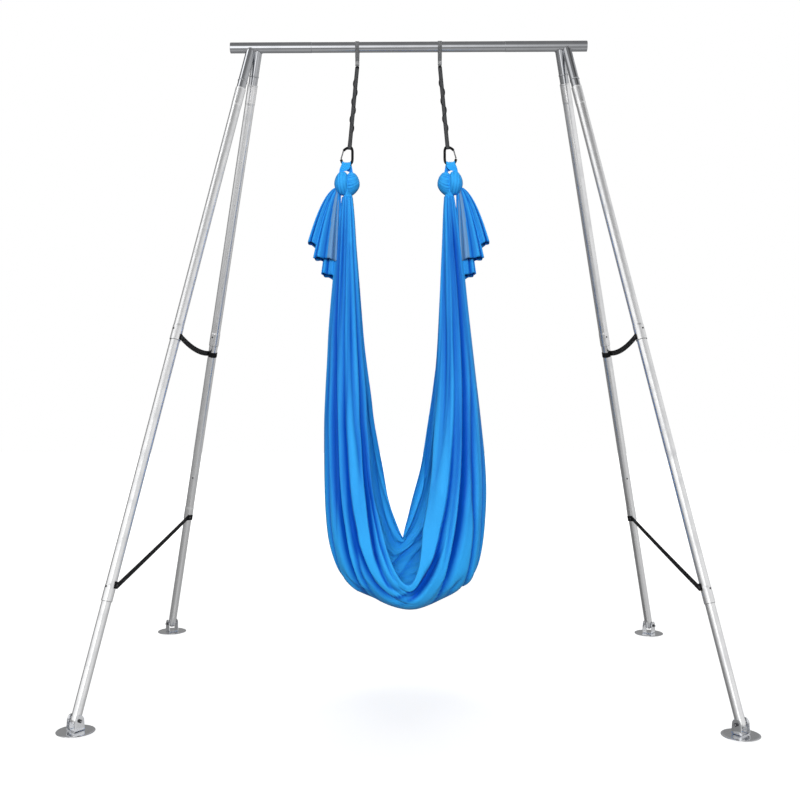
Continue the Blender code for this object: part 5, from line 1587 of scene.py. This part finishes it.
class Trough:
    """The hammock's form: a roll of cloth from knot to knot, opened forward at the seat."""

    def __init__(self, fold_scale):
        self.fold_scale = fold_scale
        self.folds = [(lean, tuple(sorted(stops))) for lean, *stops in FOLDS]
        self.steps = [(0, tuple(sorted(stops))) for stops in INNER_STEPS]
        self.stations = {}

    def station(self, run):
        """What holds all round the section at one place of the run; made once for each."""
        key = round(run, 6)
        if key not in self.stations:
            self.stations[key] = self.new_station(run)
        return self.stations[key]

    def new_station(self, run):
        share = abs(run)
        left = run < 0
        inner = on_line(INNER_LEFT if left else INNER_RIGHT, share)
        outer = on_line(OUTER_LEFT if left else OUTER_RIGHT, share, level=True)
        front = math.radians(at_run(FRONT_EDGE_LEFT if left else FRONT_EDGE_RIGHT, share)[0])
        rear = math.radians(at_run(REAR_EDGE_LEFT if left else REAR_EDGE_RIGHT, share)[0])
        half_depth = 0.018 + 0.132 * min((1.0 - share) / 0.62, 1.0) ** 0.9
        notches = []
        for lean, angle, depth in folds_at(self.folds, run):
            sharp, broad, even = 0.008 + 0.0003 * depth, 0.030 + 0.0010 * depth, 0.020 + 0.0006 * depth
            below, above = {-1: (sharp, broad), 0: (even, even), 1: (broad, sharp)}[lean]
            notches.append((angle, depth * 0.0021 * self.fold_scale, below, above))
        for k in range(REAR_FOLDS):
            wander = 4.0 * math.sin(run * 5.0 + k * 2.1)
            depth = (9.0 + 3.0 * math.sin(k * 1.9 + run * 3.0)) * min((1.0 - share) / 0.35, 1.0)
            notches.append((math.radians(197.0 + k * 13.0 + wander), depth * 0.0014, 0.019, 0.019))
        notches += [(angle, -depth * 0.0013, 0.048, 0.007) for _, angle, depth in folds_at(self.steps, run)]
        return share, inner, outer, front, rear, half_depth, notches

    def point(self, run, q):
        """Place, angle round the section and painted shade of a point; q runs from the front edge to the
        rear.
        """
        share, inner, outer, front, rear, half_depth, notches = self.station(run)
        side, end = math.radians(200.0), 2 * math.pi - rear
        if q < FRONT_SHARE:
            turn = front + (side - front) * q / FRONT_SHARE
        else:
            turn = side + (end - side) * (q - FRONT_SHARE) / (1.0 - FRONT_SHARE)
        half_width = (outer - inner).length / 2
        cos, sin = math.cos(turn), math.sin(turn)
        behind, rise = -sin * half_depth, -cos * half_depth
        past = (turn - 1.5 * math.pi) / (0.5 * math.pi)
        if past > 0:
            behind = half_depth * (1.0 - REAR_WALL_CLOSE * past * past)
            rise = -half_depth * REAR_WALL_CLOSE * 2 * past / (0.5 * math.pi)
        step = math.hypot(half_width * sin, rise)

        # Fine gathers, tighter toward the knots
        gather = min(0.0012 + 0.0046 * max(share - 0.30, 0.0) / 0.70, 0.15 * half_width)
        crests = ridge(turn * 5.5 + 1.4 * math.sin(run * 6.0)) * 0.6 + ridge(turn * 8.5 + run * 2.0) * 0.4
        push = gather * (crests - 0.3)
        push = push * min((1.0 - share) / 0.05 + 0.2, 1.0) + 0.004
        # Painted shade in the troughs of the gathers.
        gathered = 0.95 * clamp((share - 0.22) / 0.40) * (0.5 - 0.5 * crests) ** 0.85

        # Folds and steps, then the hem at both edges; the depth of the folds and steps also sets painted
        # shade
        fold_shade = 0.0
        room = min(1.0, half_width / 0.045)
        for angle, depth, below, above in notches:
            away = (turn - angle) * step
            reach = (below if away < 0 else above) * room
            if abs(away) < reach:
                fall = depth * room * (1.0 - abs(away) / reach) ** 1.7
                push -= fall
                if turn < math.radians(205) or depth < 0:
                    fold_shade += abs(fall) * (1.0 + 1.3 * share) / 0.026
        edge = min(turn - front, end - turn) * step
        if edge < 0.009:
            push -= 0.005 * (1.0 - edge / 0.009) ** 2 * room

        normal = Vector((rise, -sin * half_width))
        normal.normalize()
        outward = (outer - inner).normalized()
        flat = inner.lerp(outer, 0.5 - 0.5 * cos) + outward * (normal.x * push)
        below_edge = clamp((math.radians(318) - turn) / math.radians(34))
        front_of_it = clamp((turn - math.radians(215)) / math.radians(30))
        slide = -0.060 * below_edge * front_of_it * math.exp(-(run / 0.13) ** 2)
        # Painted shade: darker where folds, steps and gathers run deep.
        painted_shade = 1.0 - (1.0 - min(fold_shade, 1.0) ** 0.85) * (1.0 - gathered)
        return Vector((flat.x + slide, behind + normal.y * push, flat.y)), turn, painted_shade


def round_seat(spots):
    """Draws the front of the seat round where its two halves meet, in even steps along the run."""
    middle = RUN_STEPS // 2
    for _ in range(SEAT_PASSES):
        moved = {}
        for i in range(middle - SEAT_REACH, middle + SEAT_REACH + 1):
            near = 0.5 * (1.0 - ((i - middle) / (SEAT_REACH + 1)) ** 2)
            for j in range(SEAT_ROUND):
                between = (spots[i - 1, j].co + spots[i + 1, j].co) / 2
                moved[i, j] = spots[i, j].co.lerp(between, near * min((SEAT_ROUND - j) / SEAT_FADE, 1.0))
        for key, place in moved.items():
            spots[key].co = place


class YOGAFRAME_OT_hammock(bpy.types.Operator):
    """The pleated trough of cloth between the knots"""
    bl_idname = "yogaframe.hammock"
    bl_label = "Hammock"

    def execute(self, context):
        settings = context.scene.yoga_cloth
        trough = Trough(settings.fold_scale)
        bm = bmesh.new()
        bmesh.ops.create_grid(bm, x_segments=RUN_STEPS, y_segments=ROUND_STEPS, size=1.0)
        layer = bm.verts.layers.float_vector.new("grain")
        shade = bm.verts.layers.float.new("painted_shade")
        spots = {}
        for vert in bm.verts:
            run, q = vert.co.x, (vert.co.y + 1) / 2
            spots[round((run + 1) / 2 * RUN_STEPS), round(q * ROUND_STEPS)] = vert
            vert.co, turn, vert[shade] = trough.point(run, q)
            vert[layer] = (turn * 0.12, 0.0, run * 2.1)
        round_seat(spots)
        obj = single("hammock_trough", bm, "azure_knit", None, "hammock", "hammock_cloth", "blue_cloth", None)
        thicken(obj, settings.thickness)
        return {"FINISHED"}


# ---- Stage ----

# Brightness round the studio, as (degrees, brightness): by height for the bar, and by direction for the rest,
# where 0 degrees is the camera's side
BAR_FRONT = (
    (-90, 0.62), (-60, 0.62), (-45, 0.50), (-30, 0.30), (-21, 0.36), (-13, 1.95), (20, 2.10), (29, 0.50),
    (40, 0.34), (60, 0.28), (90, 0.28),
)
BAR_DIM = (
    (-90, 0.62), (-60, 0.62), (-45, 0.50), (-30, 0.30), (-21, 0.34), (-13, 0.60), (20, 0.66), (29, 0.42),
    (40, 0.34), (60, 0.28), (90, 0.28),
)
BAR_REAR = ((-90, 0.45), (-40, 0.32), (-10, 0.26), (12, 0.30), (30, 0.36), (60, 0.30), (90, 0.28))
UPPER_ROUND = (
    (-180, 0.26), (-150, 0.28), (-104, 0.26), (-91, 0.42), (-79, 1.04), (-42, 1.14), (-18, 1.00), (0, 0.80),
    (18, 0.62), (40, 0.54), (62, 0.58), (90, 0.70), (115, 0.72), (138, 0.66), (152, 0.26), (180, 0.26),
)
PALE_ROUND = (
    (-180, 0.26), (-150, 0.28), (-104, 0.26), (-91, 0.42), (-79, 1.05), (-20, 1.15), (0, 1.00), (25, 0.86),
    (80, 0.86), (105, 0.80), (138, 0.70), (152, 0.26), (180, 0.26),
)
TOP_ROUND = (
    (-180, 0.26), (-110, 0.20), (-95, 0.40), (-81, 2.20), (-58, 2.20), (-44, 0.42), (-28, 0.14), (60, 0.14),
    (92, 0.24), (120, 0.32), (180, 0.26),
)
LOWER_ROUND = (
    (-180, 0.30), (-140, 0.24), (-100, 0.24), (-78, 0.30), (-45, 0.44), (0, 0.52), (28, 0.78), (55, 0.86),
    (80, 0.68), (120, 0.58), (180, 0.30),
)


def soft_sun(name, direction, strength, softness, passes=None):
    """Even light from one side, with soft shadows and no glare in the chrome; it may pass one thing by."""
    data = bpy.data.lights.new(name, "SUN")
    data.energy = strength
    data.angle = math.radians(softness)
    lamp = placed(name, data)
    lamp.rotation_euler = Vector(direction).to_track_quat("-Z", "Y").to_euler()
    lamp.visible_glossy = False
    if passes is not None:
        left_out = bpy.data.collections.new(name + "_passes")
        left_out.objects.link(passes)
        left_out.collection_objects[0].light_linking.link_state = "EXCLUDE"
        lamp.light_linking.receiver_collection = left_out


class YOGAFRAME_OT_stage(bpy.types.Operator):
    """Pale floor, soft studio light and the camera"""
    bl_idname = "yogaframe.stage"
    bl_label = "Stage"

    def execute(self, context):
        studio = context.scene.yoga_studio
        self.camera(studio)
        floor = self.floor()
        self.walls()
        self.sky(studio)
        soft_sun("front_light", (0.0, 0.955, -0.29), studio.key, 22.0, floor)
        for side_name, side in SIDES:
            soft_sun("side_light_" + side_name, (-side * 0.62, 0.72, -0.32), studio.fill, 30.0, floor)
        soft_sun("top_light", (0.0, -0.67, -0.74), studio.top, 42.0)
        view = context.scene.view_settings
        view.view_transform = "Standard"
        return {"FINISHED"}

    def camera(self, studio):
        data = bpy.data.cameras.new("photo_camera")
        data.lens = studio.lens
        data.sensor_width = 36.0
        data.shift_y = studio.shift_down
        camera = placed("photo_camera", data)
        camera.location = studio.camera_place
        camera.rotation_euler = (math.pi / 2, 0.0, studio.camera_turn)
        bpy.context.scene.camera = camera

    def floor(self):
        bm = bmesh.new()
        bmesh.ops.create_grid(bm, x_segments=2, y_segments=2, size=14.0)
        floor = formed("studio_floor", bm)
        look = Look("pale_floor")
        path = look.node("ShaderNodeLightPath").outputs["Is Camera Ray"]
        look.paint(path, (0.32, 0.32, 0.32), (0.93, 0.93, 0.93))
        where = look.node("ShaderNodeTexCoord").outputs["Object"]
        away = look.node("ShaderNodeVectorMath", {0: where}, operation="LENGTH").outputs["Value"]
        far = remap(look.tree, away, 2.2, 5.0, 0.73)
        look.set(Roughness=0.9, Specular_IOR_Level=0.0, Emission_Color=(1.0, 1.0, 1.0, 1.0))
        look.join(maths(look.tree, "MULTIPLY", far, path), "Emission Strength")
        floor.data.materials.append(look.material)
        floor.visible_glossy = False
        return floor

    def walls(self):
        """Studio surroundings that only reflections see, brighter at eye level."""
        bm = bmesh.new()
        bmesh.ops.create_uvsphere(bm, u_segments=64, v_segments=48, radius=16.0)
        bmesh.ops.reverse_faces(bm, faces=bm.faces)
        walls = formed("studio_walls", bm)
        walls.location = (0.0, 0.0, 1.3)
        material = bpy.data.materials.new("studio_gradient")
        material.use_nodes = True
        tree = material.node_tree
        tree.nodes.clear()
        light = add_node(tree, "ShaderNodeEmission", {"Color": self.gradient(tree), "Strength": 1.0})
        add_node(tree, "ShaderNodeOutputMaterial", {0: light.outputs[0]})
        walls.data.materials.append(material)
        for ray in ("camera", "diffuse", "shadow", "transmission", "volume_scatter"):
            setattr(walls, "visible_" + ray, False)

    def gradient(self, tree):
        """The colour of the walls, seen from their middle."""
        between = partial(self.between, tree)
        blend = partial(blend_colour, tree)
        where = add_node(tree, "ShaderNodeTexCoord").outputs["Object"]
        unit = add_node(tree, "ShaderNodeVectorMath", {0: where}, operation="NORMALIZE").outputs[0]
        parts = split(tree, unit)
        height = maths(tree, "ARCSINE", parts[2])
        azimuth = maths(tree, "ARCTAN2", parts[0], maths(tree, "MULTIPLY", parts[1], -1.0))
        by_height = partial(self.ramp, tree, between(height, -90, 90), 90)
        by_azimuth = partial(self.ramp, tree, between(azimuth, -180, 180), 180)
        bar_front = blend(remap(tree, parts[0], -0.2, 0.2), by_height(BAR_FRONT), by_height(BAR_DIM))
        glow = blend(between(height, -50, -14, 0.55), (0.0, 0.0, 0.0, 1.0), by_azimuth(LOWER_ROUND))
        glow = blend(between(height, -7, 5), glow, by_azimuth(PALE_ROUND))
        glow = blend(between(height, 20, 38), glow, by_azimuth(UPPER_ROUND))
        glow = blend(between(height, 42, 45), glow, by_azimuth(TOP_ROUND))
        behind = between(maths(tree, "ABSOLUTE", azimuth), 80, 100)
        square = remap(tree, maths(tree, "ABSOLUTE", parts[0]), 0.34, 0.26)
        return blend(square, glow, blend(behind, bar_front, by_height(BAR_REAR)))

    def between(self, tree, angle, low, high, start=0.0):
        """From start to 1 between two angles in degrees."""
        return remap(tree, angle, math.radians(low), math.radians(high), start)

    def ramp(self, tree, place, half, stops):
        """Brightness by angle, as (degrees, brightness) pairs; the angle runs from -half to half."""
        made = add_node(tree, "ShaderNodeValToRGB", {"Fac": place})
        ramp = made.color_ramp
        ramp.interpolation = "LINEAR"
        while len(ramp.elements) < len(stops):
            ramp.elements.new(0.5)
        for element, (degrees, bright) in zip(ramp.elements, stops):
            element.position = (degrees + half) / (2 * half)
            element.color = (bright, bright, bright, 1.0)
        return made.outputs[0]

    def sky(self, studio):
        world = bpy.context.scene.world or bpy.data.worlds.new("studio")
        bpy.context.scene.world = world
        world.use_nodes = True
        tree = world.node_tree
        tree.nodes.clear()
        path = add_node(tree, "ShaderNodeLightPath").outputs
        bounced = maths(tree, "MAXIMUM", path["Is Glossy Ray"], path["Is Transmission Ray"])
        seen = maths(tree, "MAXIMUM", path["Is Camera Ray"], bounced)
        strength = remap(tree, seen, 0.0, 1.0, studio.sky)
        back = add_node(tree, "ShaderNodeBackground", {"Color": (1.0, 1.0, 1.0, 1.0), "Strength": strength})
        add_node(tree, "ShaderNodeOutputWorld", {0: back.outputs[0]})


# ---- Sidebar and registration ----

OPERATORS = (
    YOGAFRAME_OT_stage, YOGAFRAME_OT_bar, YOGAFRAME_OT_heads, YOGAFRAME_OT_legs, YOGAFRAME_OT_buttons,
    YOGAFRAME_OT_feet, YOGAFRAME_OT_straps, YOGAFRAME_OT_hangers, YOGAFRAME_OT_carabiners,
    YOGAFRAME_OT_knots, YOGAFRAME_OT_tails, YOGAFRAME_OT_hammock,
)
GROUPS = (
    ("yoga_stand", StandSettings), ("yoga_webbing", WebbingSettings), ("yoga_cloth", ClothSettings),
    ("yoga_studio", StudioSettings),
)


class YOGAFRAME_PT_panel(bpy.types.Panel):
    """Sizes, colours and pieces of the aerial yoga frame"""
    bl_idname = "YOGAFRAME_PT_panel"
    bl_label = "Aerial yoga frame"
    bl_space_type = "VIEW_3D"
    bl_region_type = "UI"
    bl_category = "Yoga frame"

    def draw(self, context):
        for name, kind in GROUPS:
            box = self.layout.box()
            for prop in kind.__annotations__:
                box.prop(getattr(context.scene, name), prop)
        for operator in OPERATORS:
            self.layout.operator(operator.bl_idname)


def register():
    for _, kind in GROUPS:
        bpy.utils.register_class(kind)
    for name, kind in GROUPS:
        setattr(bpy.types.Scene, name, bpy.props.PointerProperty(type=kind))
    for operator in OPERATORS:
        bpy.utils.register_class(operator)
    bpy.utils.register_class(YOGAFRAME_PT_panel)


def unregister():
    bpy.utils.unregister_class(YOGAFRAME_PT_panel)
    for operator in reversed(OPERATORS):
        bpy.utils.unregister_class(operator)
    for name, kind in reversed(GROUPS):
        delattr(bpy.types.Scene, name)
        bpy.utils.unregister_class(kind)


def main():
    register()
    build_looks(bpy.context)
    for operator in OPERATORS:
        group, name = operator.bl_idname.split(".")
        getattr(getattr(bpy.ops, group), name)()


if __name__ == "__main__":
    main()
